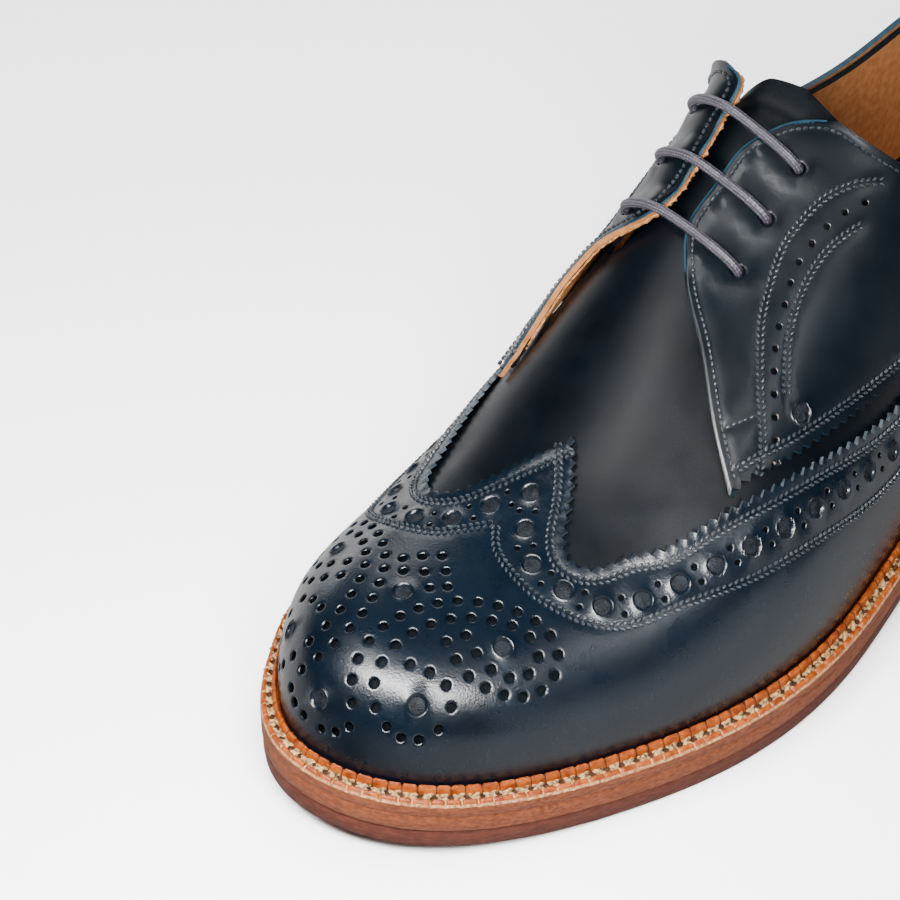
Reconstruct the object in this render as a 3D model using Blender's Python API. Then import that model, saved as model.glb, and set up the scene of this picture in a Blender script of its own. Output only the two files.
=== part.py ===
"""Full brogue derby, left shoe: the pieces that a shoemaker puts together.

Frame: metres, +Z up, toe towards -Y and the shoe's outer (left) side towards +X.
The origin lies on the floor under the middle of the sole.
Sizes are in millimetres. "Back" is the distance behind the toe end of the feather line,
which is the line where the upper meets the welt.
"""
import math
from collections import namedtuple

import bmesh
import bpy
import numpy as np
from mathutils import Vector

MM = 0.001

# Driving dimensions
LAST_LENGTH = 290.0
GAP = 0.3
TOE_SPRING = 5.5
BALL_FRONT = 70.0
BALL_BACK = 115.0
HEEL_SEAT = 235.0
HEEL_HEIGHT = 21.5
OUTSOLE = 5.7
MIDSOLE = 5.1
WELT = 4.6
STACK = OUTSOLE + MIDSOLE + WELT + 2 * GAP

# Leather heights over the last's surface, along its normal
WING_TOP = 0.75
WING_THICK = 1.0
UPPER_TOP = -0.95
UPPER_THICK = 1.6
QUARTER_TOP = 1.25
QUARTER_THICK = 1.5
TONGUE_THICK = 2.0

# Sections of the last. Half widths are at the feather line, ridge is the height over the floor,
# lean is how far the ridge lies to the left, rise is the share of the height over which a side
# stands upright, and a shoulder is the share of the half width over which the top stays flat.
Section = namedtuple("Section", "back left right ridge lean rise left_shoulder right_shoulder")
LAST = (
    Section(0, 0, 0, TOE_SPRING + STACK, 0, 0.60, 0.60, 0.60),
    Section(12, 25, 21, 43, 0, 0.62, 0.62, 0.62),
    Section(30, 37, 32.5, 47, 0, 0.62, 0.62, 0.62),
    Section(55, 47.5, 38, 49, 0, 0.60, 0.60, 0.60),
    Section(82, 55, 41, 59, -0.5, 0.60, 0.56, 0.56),
    Section(110, 56, 42, 77, -9, 0.60, 0.52, 0.56),
    Section(138, 51, 38, 95, -15.5, 0.60, 0.50, 0.80),
    Section(165, 45.5, 31.5, 113.5, -18, 0.62, 0.48, 1.00),
    Section(192, 39.5, 29.5, 119, -14, 0.66, 0.48, 0.95),
    Section(220, 35.5, 30, 124, -9, 0.70, 0.50, 0.80),
    Section(250, 33, 31, 126, -4, 0.75, 0.55, 0.65),
    Section(276, 25, 24.5, 126, 0, 0.80, 0.60, 0.60),
    Section(LAST_LENGTH, 0, 0, 126, 0, 0.80, 0.60, 0.60),
)
BULGE = 1.06
HEEL_CURVE_FROM = 190.0
HEEL_SWELL = 2.0
HEEL_BEND = 44.0
SWELL_TOP = 4 / 27

# Pattern lines. Girth is measured round the last from its ridge, up from its feather line.
Ridge = namedtuple("Ridge", "back girth")
Feather = namedtuple("Feather", "back up")
Height = namedtuple("Height", "back height")
WING_PEAK = 82.0
WING_DIP = {1: Ridge(62, 18), -1: Ridge(57, 19)}
WING_NOSE = {
    1: (WING_DIP[1], Ridge(64, 14), Ridge(70, 9.8), Ridge(77, 4.5), Ridge(WING_PEAK, 0)),
    -1: (WING_DIP[-1], Ridge(59, 14.5), Ridge(65, 10.6), Ridge(75, 5.5), Ridge(WING_PEAK, 0)),
}
WING_SIDE = {
    1: (Feather(64, 46), Feather(77, 44.5), Feather(100, 46.5), Feather(120, 45), Feather(160, 40),
        Feather(200, 33), Feather(250, 26), Feather(LAST_LENGTH, 25)),
    -1: (Feather(59, 33.5), Feather(66, 31.5), Feather(80, 30), Feather(120, 34), Feather(160, 35),
         Feather(200, 32), Feather(250, 26), Feather(LAST_LENGTH, 25)),
}
QUARTER_RISE = 5.0
SEAM = 0.004
FACING = {
    1: (Ridge(96, 40), Ridge(103, 29), Ridge(112, 19), Ridge(118, 11), Ridge(123, 6.8),
        Ridge(128, 4), Ridge(139, 5), Ridge(146, 6), Ridge(151, 9), Ridge(155, 12), Ridge(161, 19)),
    -1: (Ridge(92, 33), Ridge(104, 29), Ridge(114, 25), Ridge(120, 18), Ridge(124, 8.5),
         Ridge(128, 4), Ridge(134, 1.5), Ridge(142, 0.5), Ridge(152, 0), Ridge(156, 0.5), Ridge(158, 4)),
}
COLLAR = {
    1: (Height(161, 109), Height(166, 103), Height(173, 97), Height(183, 91.5), Height(198, 87.5),
        Height(217, 85.5), Height(236, 86), Height(255, 89), Height(275, 95), Height(LAST_LENGTH, 99)),
    -1: (Height(158, 109), Height(161.5, 101.5), Height(167, 94), Height(177, 87), Height(192, 84),
         Height(214, 83.5), Height(236, 86), Height(255, 89), Height(275, 95), Height(LAST_LENGTH, 99)),
}
THROAT_BACK = 118.5
THROAT_LENGTH = 6.0
THROAT_HALF = {1: 26.0, -1: 22.0}

# Flare of the facings: how far their front edges stand off the vamp, and how far in that reaches
Flare = namedtuple("Flare", "back lift")
FLARE = {
    1: (Flare(96, 0), Flare(118, 1.6), Flare(152, 1.6), Flare(188, 0)),
    -1: (Flare(92, 0), Flare(112, 2), Flare(135, 2.8), Flare(150, 4.4), Flare(158, 6.6),
         Flare(172, 2), Flare(190, 0)),
}
FLARE_REACH = 30.0

# Tongue: girths of its right and left edges, counted to the left of the ridge, and how deep it lies
Edges = namedtuple("Edges", "back right left")
TONGUE = (Edges(110, -22, 26), Edges(118, -25, 29), Edges(128, -25, 29), Edges(139, -24.5, 28.5),
          Edges(150, -24, 28), Edges(156, -19, 27), Edges(159, -10, 26), Edges(162, 0, 24.5),
          Edges(164.5, 9, 21))
TONGUE_DEPTH = (Ridge(110, -3.3), Ridge(118, -4.0))

# Lace and its holes
LACE_RADIUS = 1.35
LACE_STUB = 0.9
LACE_CLEAR = 0.5
RUN_CLEAR = 0.9
RUN_BOW = -2.0
LACE_BEND = 2.7
TURN_ANGLES = (0.2, 0.9, math.pi / 2)
RUN_BEND = 2.2
RUN_SHARES = (0.35, 0.5, 0.65)
HOLE_RADIUS = 2.5
HOLE_DEPTH = 12.0
HOLE_BACK = (128.0, 139.5, 150.5)
HOLE_GIRTH = {1: (19.5, 19.5, 20.0), -1: (14.0, 12.0, 10.5)}

# Sole outline beyond the feather line, and the steps of its side
Margin = namedtuple("Margin", "back width")
SOLE_MARGIN = {
    1: (Margin(0, 5.6), Margin(140, 5.6), Margin(200, 4.8), Margin(LAST_LENGTH, 4.2)),
    -1: (Margin(0, 5.6), Margin(6, 4.8), Margin(16, 3.8), Margin(140, 3.8), Margin(LAST_LENGTH, 4.2)),
}
EDGE_BEVEL = 1.2
EDGE_STEP = 0.25
WELT_INSIDE = WING_TOP + GAP
WELT_FLOOR = OUTSOLE + MIDSOLE + 2 * GAP
UNDER_WING = -0.35
Corner = namedtuple("Corner", "share level")
WELT_PROFILE = (
    Corner(UNDER_WING, WELT_FLOOR), Corner(0.96, WELT_FLOOR), Corner(1, STACK - 1.4),
    Corner(0.86, STACK - 0.1), Corner(0.64, STACK + 0.1), Corner(0.50, STACK - 0.7),
    Corner(0.34, STACK - 0.4), Corner(0.22, STACK + 1.6), Corner(0.05, STACK + 1.7),
    Corner(0, STACK - GAP), Corner(UNDER_WING, STACK - GAP),
)
HEEL_BREAST = 222.0
HEEL_BREAST_CURVE = 4.0
HEEL_CORNER = 4.0
HEEL_INSET = 0.8
INSOLE_THICK = 3.4
SKIRT = 4.2

# Rows and columns of faces
ROWS = 28
KEY_ROOM = 2.5
LOOP = 70
UPPER_COLUMNS = 8
WING_COLUMNS = 5
NOSE_COLUMNS = 3
QUARTER_COLUMNS = 9
QUARTER_CROWD = 1.4
TONGUE_COLUMNS = 8
HEEL_STEPS = 14
BREAST_STEPS = 8
HOLE_SIDES = 10
LACE_SPACING = LACE_RADIUS * 1.4

# Colours and roughness of the leathers and the lace
NAVY = (0.012, 0.020, 0.034)
DULL_NAVY = (0.014, 0.018, 0.028)
TAN = (0.55, 0.19, 0.04)
COPPER = (0.30, 0.12, 0.05)
RED_BROWN = (0.16, 0.06, 0.035)
DARK_BROWN = (0.14, 0.055, 0.03)
PALE_TAN = (0.50, 0.33, 0.19)
GREY_VIOLET = (0.10, 0.09, 0.11)
POLISHED = 0.25
BURNISHED = 0.5
DULL = 0.6


def natural_spline(knots, values):
    """A cubic through the knots with no bend at its ends."""
    knots = np.asarray(knots, float)
    values = np.asarray(values, float)
    gap = np.diff(knots)
    slope = np.diff(values) / gap
    system = np.eye(len(knots))
    load = np.zeros(len(knots))
    for i in range(1, len(knots) - 1):
        system[i, i - 1:i + 2] = gap[i - 1], 2 * (gap[i - 1] + gap[i]), gap[i]
        load[i] = 6 * (slope[i] - slope[i - 1])
    bend = np.linalg.solve(system, load)

    def curve(x):
        i = np.clip(np.searchsorted(knots, x) - 1, 0, len(gap) - 1)
        after = x - knots[i]
        before = knots[i + 1] - x
        cubic = (bend[i] * before ** 3 + bend[i + 1] * after ** 3) / (6 * gap[i])
        line_back = (values[i] / gap[i] - bend[i] * gap[i] / 6) * before
        line_on = (values[i + 1] / gap[i] - bend[i + 1] * gap[i] / 6) * after
        return cubic + line_back + line_on

    return curve


def sweep(back):
    """Angle that runs from 0 at the toe to pi at the heel, so that both ends come out round."""
    return np.arccos(np.clip(1 - 2 * np.asarray(back, float) / LAST_LENGTH, -1, 1))


def table(rows, back):
    """A value read from a short table whose rows start with their distance back."""
    return np.interp(back, [row[0] for row in rows], [row[1] for row in rows])


COLUMN = {name: natural_spline(sweep([row.back for row in LAST]), [getattr(row, name) for row in LAST])
          for name in Section._fields}


def tread(back):
    """Height of the outsole's underside: toe spring, flat ball, arch and heel seat."""
    spring = TOE_SPRING * np.clip(1 - back / BALL_FRONT, 0, None) ** 2
    rise = np.clip((back - BALL_BACK) / (HEEL_SEAT - BALL_BACK), 0, 1)
    return spring + HEEL_HEIGHT * rise ** 2 * (3 - 2 * rise)


def bezier(share, start, first, second, end):
    """A cubic Bezier value at a share from 0 to 1."""
    rest = 1 - share
    return (rest ** 3 * start + 3 * rest ** 2 * share * first
            + 3 * rest * share ** 2 * second + share ** 3 * end)


def last_surface(phi, t):
    """Points on the last: t is 1 on the left feather line, 0 on the ridge, -1 on the right one."""
    phi, t = np.broadcast_arrays(np.asarray(phi, float), np.asarray(t, float))
    back = LAST_LENGTH * (1 - np.cos(phi)) / 2
    reach = np.where(t >= 0, COLUMN["left"](phi), -COLUMN["right"](phi))
    lean = COLUMN["lean"](phi)
    base = tread(back) + STACK
    height = COLUMN["ridge"](phi) - base
    climb = 1 - np.abs(t)
    shoulder = np.where(t >= 0, COLUMN["left_shoulder"](phi), COLUMN["right_shoulder"](phi))
    x = bezier(climb, reach, BULGE * reach, lean + shoulder * (reach - lean), lean)
    z = bezier(climb, 0, COLUMN["rise"](phi) * height, height, height)
    weight = np.clip((back - HEEL_CURVE_FROM) / (LAST_LENGTH - HEEL_CURVE_FROM), 0, 1) ** 2
    bend = z / HEEL_BEND
    y = back + HEEL_SWELL * bend ** 2 * (1 - bend) / SWELL_TOP * weight
    return np.stack([x, y, base + z], -1)


def skin(phi, t, lift):
    """Points at a height over the last's surface, along its normal."""
    pole = 0.05
    step = 0.001
    phi, t = np.broadcast_arrays(np.asarray(phi, float), np.asarray(t, float))
    inner = np.clip(phi, pole, math.pi - pole)
    along = last_surface(inner + step, t) - last_surface(inner - step, t)
    around = last_surface(inner, np.minimum(t + step, 1)) - last_surface(inner, np.maximum(t - step, -1))
    normal = np.cross(around, along)
    normal[phi > math.pi - step, 0] = 0
    normal[phi < step] = (0, -1, 0)
    normal /= np.linalg.norm(normal, axis=-1, keepdims=True)
    return last_surface(phi, t) + normal * np.asarray(lift, float)[..., None]


def side_ruler(back, side):
    """Shares t and their girths from the ridge down one side of a section."""
    share = np.linspace(0, 1, 61)
    points = last_surface(sweep(back), side * (share + 1e-9))
    steps = np.linalg.norm(np.diff(points, axis=0), axis=1)
    return share, np.concatenate([[0], np.cumsum(steps)]), points[:, 2]


def from_ridge(back, side, girth):
    share, length, _ = side_ruler(back, side)
    return side * np.interp(girth, length, share)


def from_feather(back, side, up):
    share, length, _ = side_ruler(back, side)
    return side * np.interp(length[-1] - up, length, share)


def at_height(back, side, height):
    share, _, z = side_ruler(back, side)
    return side * np.interp(-height, -z, share)


def row_backs(start, end):
    """The rows that all leather pieces share, so that their faces lie on each other."""
    keys = [WING_PEAK]
    keys += [COLLAR[side][0].back for side in (1, -1)]
    keys += [THROAT_BACK + THROAT_LENGTH * share for share in (0, 0.15, 0.45, 1)]
    keys += [WING_DIP[side].back for side in (1, -1)]
    keys += [WING_SIDE[side][0].back for side in (1, -1)]
    keys += [FACING[side][0].back for side in (1, -1)]
    keys += HOLE_BACK
    even = LAST_LENGTH * (1 - np.cos(np.linspace(0, math.pi, ROWS + 1))) / 2
    even = [back for back in even if min(abs(back - key) for key in keys) > KEY_ROOM]
    rows = sorted(set(even + keys))
    return [back for back in rows if start <= back <= end]


def add_object(name, mesh, parent, colour, roughness):
    """An object of its own for each piece, with its own material, on the shoe's empty."""
    material = bpy.data.materials.new(name)
    material.use_nodes = True
    shader = material.node_tree.nodes["Principled BSDF"]
    shader.inputs["Base Color"].default_value = (*colour, 1)
    shader.inputs["Roughness"].default_value = roughness
    shader.inputs["Metallic"].default_value = 0
    mesh.materials.append(material)
    piece = bpy.data.objects.new(name, mesh)
    bpy.context.collection.objects.link(piece)
    piece.parent = parent
    return piece


def mesh_of(name, bm):
    """Merge the seams, close the edit mesh and shade its round faces smooth."""
    bmesh.ops.remove_doubles(bm, verts=bm.verts, dist=1e-6)
    bmesh.ops.dissolve_degenerate(bm, edges=bm.edges, dist=1e-6)
    mesh = bpy.data.meshes.new(name)
    bm.to_mesh(mesh)
    bm.free()
    mesh.shade_smooth()
    mesh.set_sharp_from_angle(angle=math.radians(40))
    return mesh


def add_strip(bm, grid):
    """Faces of a grid of points: rows run towards the heel, columns round to the left."""
    verts = [[bm.verts.new(Vector(point) * MM) for point in row] for row in grid]
    for low, high in zip(verts, verts[1:]):
        for i in range(len(low) - 1):
            bm.faces.new((low[i], low[i + 1], high[i + 1], high[i]))


def thicken(piece, thickness):
    """Give a sheet its leather thickness, inwards from its outer face."""
    wall = piece.modifiers.new("wall", "SOLIDIFY")
    wall.thickness = thickness * MM
    wall.offset = -1


def strip_grid(backs, first, last, columns, lift, crowd=1.0):
    """Rows of skin points from share first(back) to share last(back), crowded towards the first."""
    shares = np.linspace(0, 1, columns + 1) ** crowd
    grid = []
    for back in backs:
        t = first(back) + (last(back) - first(back)) * shares
        grid.append(skin(sweep(back), t, lift(back, t)))
    return grid


def constant(value):
    return lambda back, t: np.full(len(t), value)


def throat_edge(back, side):
    """Top edge of the upper: the ridge in front, then the throat, then the collar."""
    if back <= THROAT_BACK:
        return 0.0
    ahead = np.clip((THROAT_BACK + THROAT_LENGTH - back) / THROAT_LENGTH, 0, 1)
    share = from_ridge(back, side, THROAT_HALF[side] * math.sqrt(1 - ahead ** 2))
    if back > COLLAR[side][0].back:
        share = side * max(abs(share), abs(at_height(back, side, table(COLLAR[side], back))))
    return share


def make_upper(parent):
    """Vamp and lining wall over the last, open at throat and collar and underneath."""
    bm = bmesh.new()
    for side in (1, -1):
        backs = row_backs(0, LAST_LENGTH)
        grid = strip_grid(backs, lambda back: throat_edge(back, side), lambda back: side,
                          UPPER_COLUMNS, constant(UPPER_TOP))
        for i, row in enumerate(grid):
            hem = row[-1] - np.array([0, 0, SKIRT])
            row = np.vstack([row, hem])
            grid[i] = row if side > 0 else row[::-1]
        add_strip(bm, grid)
    piece = add_object("upper", mesh_of("upper", bm), parent, NAVY, POLISHED)
    thicken(piece, UPPER_THICK)


def wing_edge(back, side):
    """Share of the wing's upper edge behind its dip, and of the line from the dip to the toe."""
    dip = WING_DIP[side]
    if back <= dip.back:
        return from_ridge(dip.back, side, dip.girth)
    if back < WING_SIDE[side][0].back:
        return from_feather(back, side, WING_SIDE[side][0].up)
    return from_feather(back, side, table(WING_SIDE[side], back))


def wing_nose(back, side):
    """Share of the edge of the wing's centre peak."""
    if back <= WING_DIP[side].back:
        return wing_edge(back, side)
    return from_ridge(back, side, table(WING_NOSE[side], back))


def make_wing_cap(parent):
    """Long wing tip: a centre peak and two wings that run along the sides to the heel."""
    bm = bmesh.new()
    backs = row_backs(0, LAST_LENGTH)
    nose = row_backs(0, WING_PEAK)
    lift = constant(WING_TOP)
    add_strip(bm, strip_grid(backs, lambda back: wing_edge(back, 1), lambda back: 1, WING_COLUMNS, lift))
    add_strip(bm, strip_grid(backs, lambda back: -1, lambda back: wing_edge(back, -1), WING_COLUMNS, lift))
    add_strip(bm, strip_grid(nose, lambda back: wing_nose(back, -1), lambda back: 0, NOSE_COLUMNS, lift))
    add_strip(bm, strip_grid(nose, lambda back: 0, lambda back: wing_nose(back, 1), NOSE_COLUMNS, lift))
    piece = add_object("wing_cap", mesh_of("wing_cap", bm), parent, NAVY, POLISHED)
    thicken(piece, WING_THICK)


def quarter_bottom(back, side):
    return from_feather(back, side, table(WING_SIDE[side], back) + QUARTER_RISE)


def quarter_top(back, side):
    if back <= COLLAR[side][0].back:
        share = from_ridge(back, side, table(FACING[side], back))
    else:
        share = at_height(back, side, table(COLLAR[side], back))
    return side * min(abs(share), abs(quarter_bottom(back, side)))


def quarter_lift(back, side, t):
    """Height of a quarter's outer face: its facing's front edge stands off the vamp."""
    share, length, _ = side_ruler(back, side)
    girth = np.interp(np.abs(t), share, length)
    edge = np.interp(abs(quarter_top(back, side)), share, length)
    near = np.clip(1 - (girth - edge) / FLARE_REACH, 0, 1) ** 2
    return QUARTER_TOP + table(FLARE[side], back) * near


def facing_point(back, side, girth, lift):
    """A point over a facing's outer face."""
    t = np.array([from_ridge(back, side, girth)])
    return skin(sweep(back), t, quarter_lift(back, side, t) + lift)[0]


def hole_axis(number, side):
    """Centre of a lace hole on the facing's outer face, and the direction out of it."""
    back = HOLE_BACK[number]
    girth = HOLE_GIRTH[side][number]
    centre = facing_point(back, side, girth, 0)
    out = facing_point(back, side, girth, 1) - centre
    return Vector(centre), Vector(out).normalized()


def make_hole_cutter(name, number, side, parent):
    """A round cutter along a lace hole, left out of the finished shoe."""
    centre, out = hole_axis(number, side)
    bm = bmesh.new()
    bmesh.ops.create_cone(bm, cap_ends=True, segments=HOLE_SIDES, radius1=HOLE_RADIUS * MM,
                          radius2=HOLE_RADIUS * MM, depth=HOLE_DEPTH * MM)
    mesh = bpy.data.meshes.new(name)
    bm.to_mesh(mesh)
    bm.free()
    cutter = bpy.data.objects.new(name, mesh)
    bpy.context.collection.objects.link(cutter)
    cutter.parent = parent
    cutter.location = centre * MM
    cutter.rotation_euler = out.to_track_quat("Z", "Y").to_euler()
    cutter.hide_render = True
    cutter.display_type = "WIRE"
    return cutter


def make_quarter(name, side, parent):
    """One quarter with its facing, from the front corner back to the heel seam."""
    backs = row_backs(FACING[side][0].back, LAST_LENGTH)
    backs[-1] -= SEAM
    grid = strip_grid(backs, lambda back: quarter_top(back, side), lambda back: quarter_bottom(back, side),
                      QUARTER_COLUMNS, lambda back, t: quarter_lift(back, side, t), QUARTER_CROWD)
    bm = bmesh.new()
    add_strip(bm, grid if side > 0 else [row[::-1] for row in grid])
    piece = add_object(name, mesh_of(name, bm), parent, NAVY, POLISHED)
    thicken(piece, QUARTER_THICK)
    for number in range(len(HOLE_BACK)):
        cut = piece.modifiers.new("lace hole", "BOOLEAN")
        cut.object = make_hole_cutter(f"{name}_hole_{number + 1}", number, side, parent)


def make_tongue(parent):
    """Tongue under the facings, tucked under the vamp in front."""
    bm = bmesh.new()
    grid = []
    for row in TONGUE:
        ends = [from_ridge(row.back, math.copysign(1, girth), abs(girth)) for girth in (row.right, row.left)]
        shares = np.linspace(*ends, TONGUE_COLUMNS + 1)
        grid.append(skin(sweep(row.back), shares, np.full(len(shares), table(TONGUE_DEPTH, row.back))))
    add_strip(bm, grid)
    piece = add_object("tongue", mesh_of("tongue", bm), parent, DULL_NAVY, BURNISHED)
    thicken(piece, TONGUE_THICK)


def rim(turn, offset):
    """Plan point beside the feather line: turn runs round from the toe by the left side."""
    step = 0.002
    left = turn <= math.pi

    def line(at):
        at = at % (2 * math.pi)
        on_left = at <= math.pi
        return last_surface(at if on_left else 2 * math.pi - at, 1.0 if on_left else -1.0)

    phi = turn if left else 2 * math.pi - turn
    point = last_surface(phi, 1.0 if left else -1.0)
    ahead = line(turn + step) - line(turn - step)
    normal = np.array([ahead[1], -ahead[0]]) / math.hypot(ahead[0], ahead[1])
    return point[:2] + normal * offset


def loop_points(offset, level, turns):
    """A loop beside the feather line at a height over the outsole's underside."""
    points = []
    for turn in turns:
        phi = min(turn, 2 * math.pi - turn)
        margin = offset(LAST_LENGTH * (1 - math.cos(phi)) / 2, 1 if turn <= math.pi else -1)
        x, y = rim(turn, margin)
        points.append((x, y, float(tread(y)) + level))
    return points


def sole_turns():
    return [2 * math.pi * i / LOOP for i in range(LOOP)]


def constant_margin(offset):
    return lambda back, side: offset


def beside_sole(inset):
    """Offset of the sole's edge from the feather line, less an inset."""
    return lambda back, side: float(table(SOLE_MARGIN[side], back)) - inset


def add_layer(bm, loops):
    """A closed layer from loops that run from its underside to its top."""
    rings = [[bm.verts.new(Vector(point) * MM) for point in loop] for loop in loops]
    count = len(rings[0])
    for low, high in zip(rings, rings[1:]):
        for i in range(count):
            j = (i + 1) % count
            bm.faces.new((low[i], low[j], high[j], high[i]))
    for ring, up in ((rings[0], False), (rings[-1], True)):
        for i in range(count // 2):
            corners = [ring[i], ring[i + 1], ring[(count - i - 1) % count], ring[(count - i) % count]]
            corners = list(dict.fromkeys(corners))
            bm.faces.new(corners if up else corners[::-1])


def make_layer(name, loops, parent, colour, roughness):
    bm = bmesh.new()
    add_layer(bm, loops)
    bmesh.ops.recalc_face_normals(bm, faces=bm.faces)
    return add_object(name, mesh_of(name, bm), parent, colour, roughness)


def make_sole(parent):
    """Outsole and midsole under the welt, each a layer with the sole's outline and arch."""
    turns = sole_turns()
    outsole = [loop_points(beside_sole(inset), level, turns)
               for inset, level in ((EDGE_BEVEL, 0), (2 * EDGE_STEP, EDGE_BEVEL), (EDGE_STEP, OUTSOLE))]
    make_layer("outsole", outsole, parent, RED_BROWN, BURNISHED)
    floor = OUTSOLE + GAP
    midsole = [loop_points(beside_sole(inset), floor + level, turns)
               for inset, level in ((EDGE_STEP, 0), (0, MIDSOLE / 2), (EDGE_STEP, MIDSOLE))]
    make_layer("midsole", midsole, parent, COPPER, BURNISHED)


def make_insole(parent):
    """Insole board inside the upper's wall."""
    inset = UPPER_TOP - UPPER_THICK - 2 * GAP
    floor = OUTSOLE + MIDSOLE + 2 * GAP
    loops = [loop_points(constant_margin(inset), floor + level, sole_turns())
             for level in (0, INSOLE_THICK)]
    make_layer("insole", loops, parent, PALE_TAN, DULL)


def welt_offset(share):
    """Offset of a share of the welt's width: 0 against the upper, 1 at the sole's edge."""
    return lambda back, side: WELT_INSIDE + share * (float(table(SOLE_MARGIN[side], back)) - WELT_INSIDE)


def make_welt(parent):
    """Storm welt: a raised bead against the upper, a stitch channel and a flat outer ridge."""
    bm = bmesh.new()
    rings = []
    for corner in WELT_PROFILE:
        loop = loop_points(welt_offset(corner.share), corner.level, sole_turns())
        rings.append([bm.verts.new(Vector(point) * MM) for point in loop])
    for low, high in zip(rings, rings[1:] + rings[:1]):
        for i in range(LOOP):
            j = (i + 1) % LOOP
            bm.faces.new((low[i], low[j], high[j], high[i]))
    bmesh.ops.recalc_face_normals(bm, faces=bm.faces)
    add_object("welt", mesh_of("welt", bm), parent, TAN, BURNISHED)


def make_heel(parent):
    """Heel block under the heel seat, flat on the floor, with a hollowed breast."""
    start = float(sweep(HEEL_BREAST + HEEL_CORNER))
    half = [start + (math.pi - start) * i / HEEL_STEPS for i in range(HEEL_STEPS + 1)]
    turns = half + [2 * math.pi - turn for turn in half[-2::-1]]
    bm = bmesh.new()
    top = loop_points(beside_sole(HEEL_INSET), -GAP, turns)
    right, left = top[-1][0], top[0][0]
    for share in np.linspace(0, 1, BREAST_STEPS + 1):
        y = HEEL_BREAST + HEEL_BREAST_CURVE * 4 * share * (1 - share)
        top.append((right + (left - right) * share, y, float(tread(y)) - GAP))
    upper_ring = [bm.verts.new(Vector(point) * MM) for point in top]
    lower_ring = [bm.verts.new(Vector((x, y, 0)) * MM) for x, y, _ in top]
    for i, corner in enumerate(upper_ring):
        bm.faces.new((lower_ring[i - 1], lower_ring[i], corner, upper_ring[i - 1]))
    bm.faces.new(lower_ring)
    bm.faces.new(upper_ring)
    bmesh.ops.triangulate(bm, faces=[face for face in bm.faces if len(face.verts) > 4])
    bmesh.ops.recalc_face_normals(bm, faces=bm.faces)
    add_object("heel", mesh_of("heel", bm), parent, DARK_BROWN, BURNISHED)


def hole_turn(number, side, toward, radius, level):
    """Quarter turn of the lace out of a hole, to a level over its facing, heading for a point."""
    centre, out = hole_axis(number, side)
    way = toward - centre
    way = (way - out * way.dot(out)).normalized()
    up = math.copysign(radius, level)
    pivot = centre + way * radius + out * (level - up)
    return [pivot - way * radius * math.cos(angle) + out * up * math.sin(angle)
            for angle in TURN_ANGLES]


def lace_bar(number, start):
    """Points of a bar over the facings, from the hole on side start to the opposite hole."""
    over = LACE_RADIUS + LACE_CLEAR
    back = HOLE_BACK[number]
    points = []
    for side in (start, -start):
        girth = HOLE_GIRTH[side][number] - LACE_BEND
        edge = float(table(FACING[side], back))
        heading = Vector(facing_point(back, side, girth, 0))
        path = hole_turn(number, side, heading, LACE_BEND, over)
        for share in (0.5, 1.0):
            path.append(Vector(facing_point(back, side, girth + (edge - girth) * share, over)))
        points += path if side == start else path[::-1]
    return points


def lace_run(side, first, second, sideways):
    """Points of a run under a facing, from one hole to another, bowed sideways by some girth."""
    under = -(QUARTER_THICK + RUN_CLEAR + LACE_RADIUS)
    middle = []
    for share in RUN_SHARES:
        back = HOLE_BACK[first] * (1 - share) + HOLE_BACK[second] * share
        girth = HOLE_GIRTH[side][first] * (1 - share) + HOLE_GIRTH[side][second] * share
        bow = sideways * (1 - (2 * share - 1) ** 2)
        middle.append(Vector(facing_point(back, side, girth + bow, under)))
    start = hole_turn(first, side, middle[0], RUN_BEND, under)
    end = hole_turn(second, side, middle[-1], RUN_BEND, under)
    return start + middle + end[::-1]


def smooth_route(route, spacing):
    """Points of a smooth curve through the route, a spacing apart."""
    stops = np.array(route)
    chord = np.concatenate([[0], np.cumsum(np.linalg.norm(np.diff(stops, axis=0), axis=1))])
    axes = [natural_spline(chord, stops[:, axis]) for axis in range(3)]
    places = np.linspace(0, chord[-1], int(chord[-1] / spacing) + 1)
    return np.stack([axis(places) for axis in axes], -1)


def make_lace(parent):
    """Round lace in three straight bars, joined by its runs under the facings."""
    stub = QUARTER_THICK * LACE_STUB
    route = []
    centre, out = hole_axis(1, -1)
    route.append(centre - out * stub)
    route += lace_bar(1, -1)
    route += lace_run(1, 1, 0, 0)
    route += lace_bar(0, 1)
    route += lace_run(-1, 0, 2, RUN_BOW)
    route += lace_bar(2, -1)
    centre, out = hole_axis(2, 1)
    route.append(centre - out * stub)
    curve = bpy.data.curves.new("lace", "CURVE")
    curve.dimensions = "3D"
    curve.bevel_depth = LACE_RADIUS * MM
    curve.bevel_resolution = 1
    curve.use_fill_caps = True
    points = smooth_route([tuple(point) for point in route], LACE_SPACING)
    spline = curve.splines.new("POLY")
    spline.points.add(len(points) - 1)
    for knot, point in zip(spline.points, points):
        knot.co = (*(point * MM), 1)
    add_object("lace", curve, parent, GREY_VIOLET, DULL)


def main():
    for piece in list(bpy.data.objects):
        bpy.data.objects.remove(piece, do_unlink=True)
    outline = np.array(loop_points(beside_sole(0), 0, sole_turns()))
    middle = (outline.min(axis=0) + outline.max(axis=0)) / 2
    shoe = bpy.data.objects.new("shoe", None)
    bpy.context.collection.objects.link(shoe)
    shoe.location = (-middle[0] * MM, -middle[1] * MM, 0)
    make_sole(shoe)
    make_heel(shoe)
    make_welt(shoe)
    make_insole(shoe)
    make_upper(shoe)
    make_wing_cap(shoe)
    make_quarter("quarter_left", 1, shoe)
    make_quarter("quarter_right", -1, shoe)
    make_tongue(shoe)
    make_lace(shoe)
    bpy.context.view_layer.update()


main()
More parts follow.
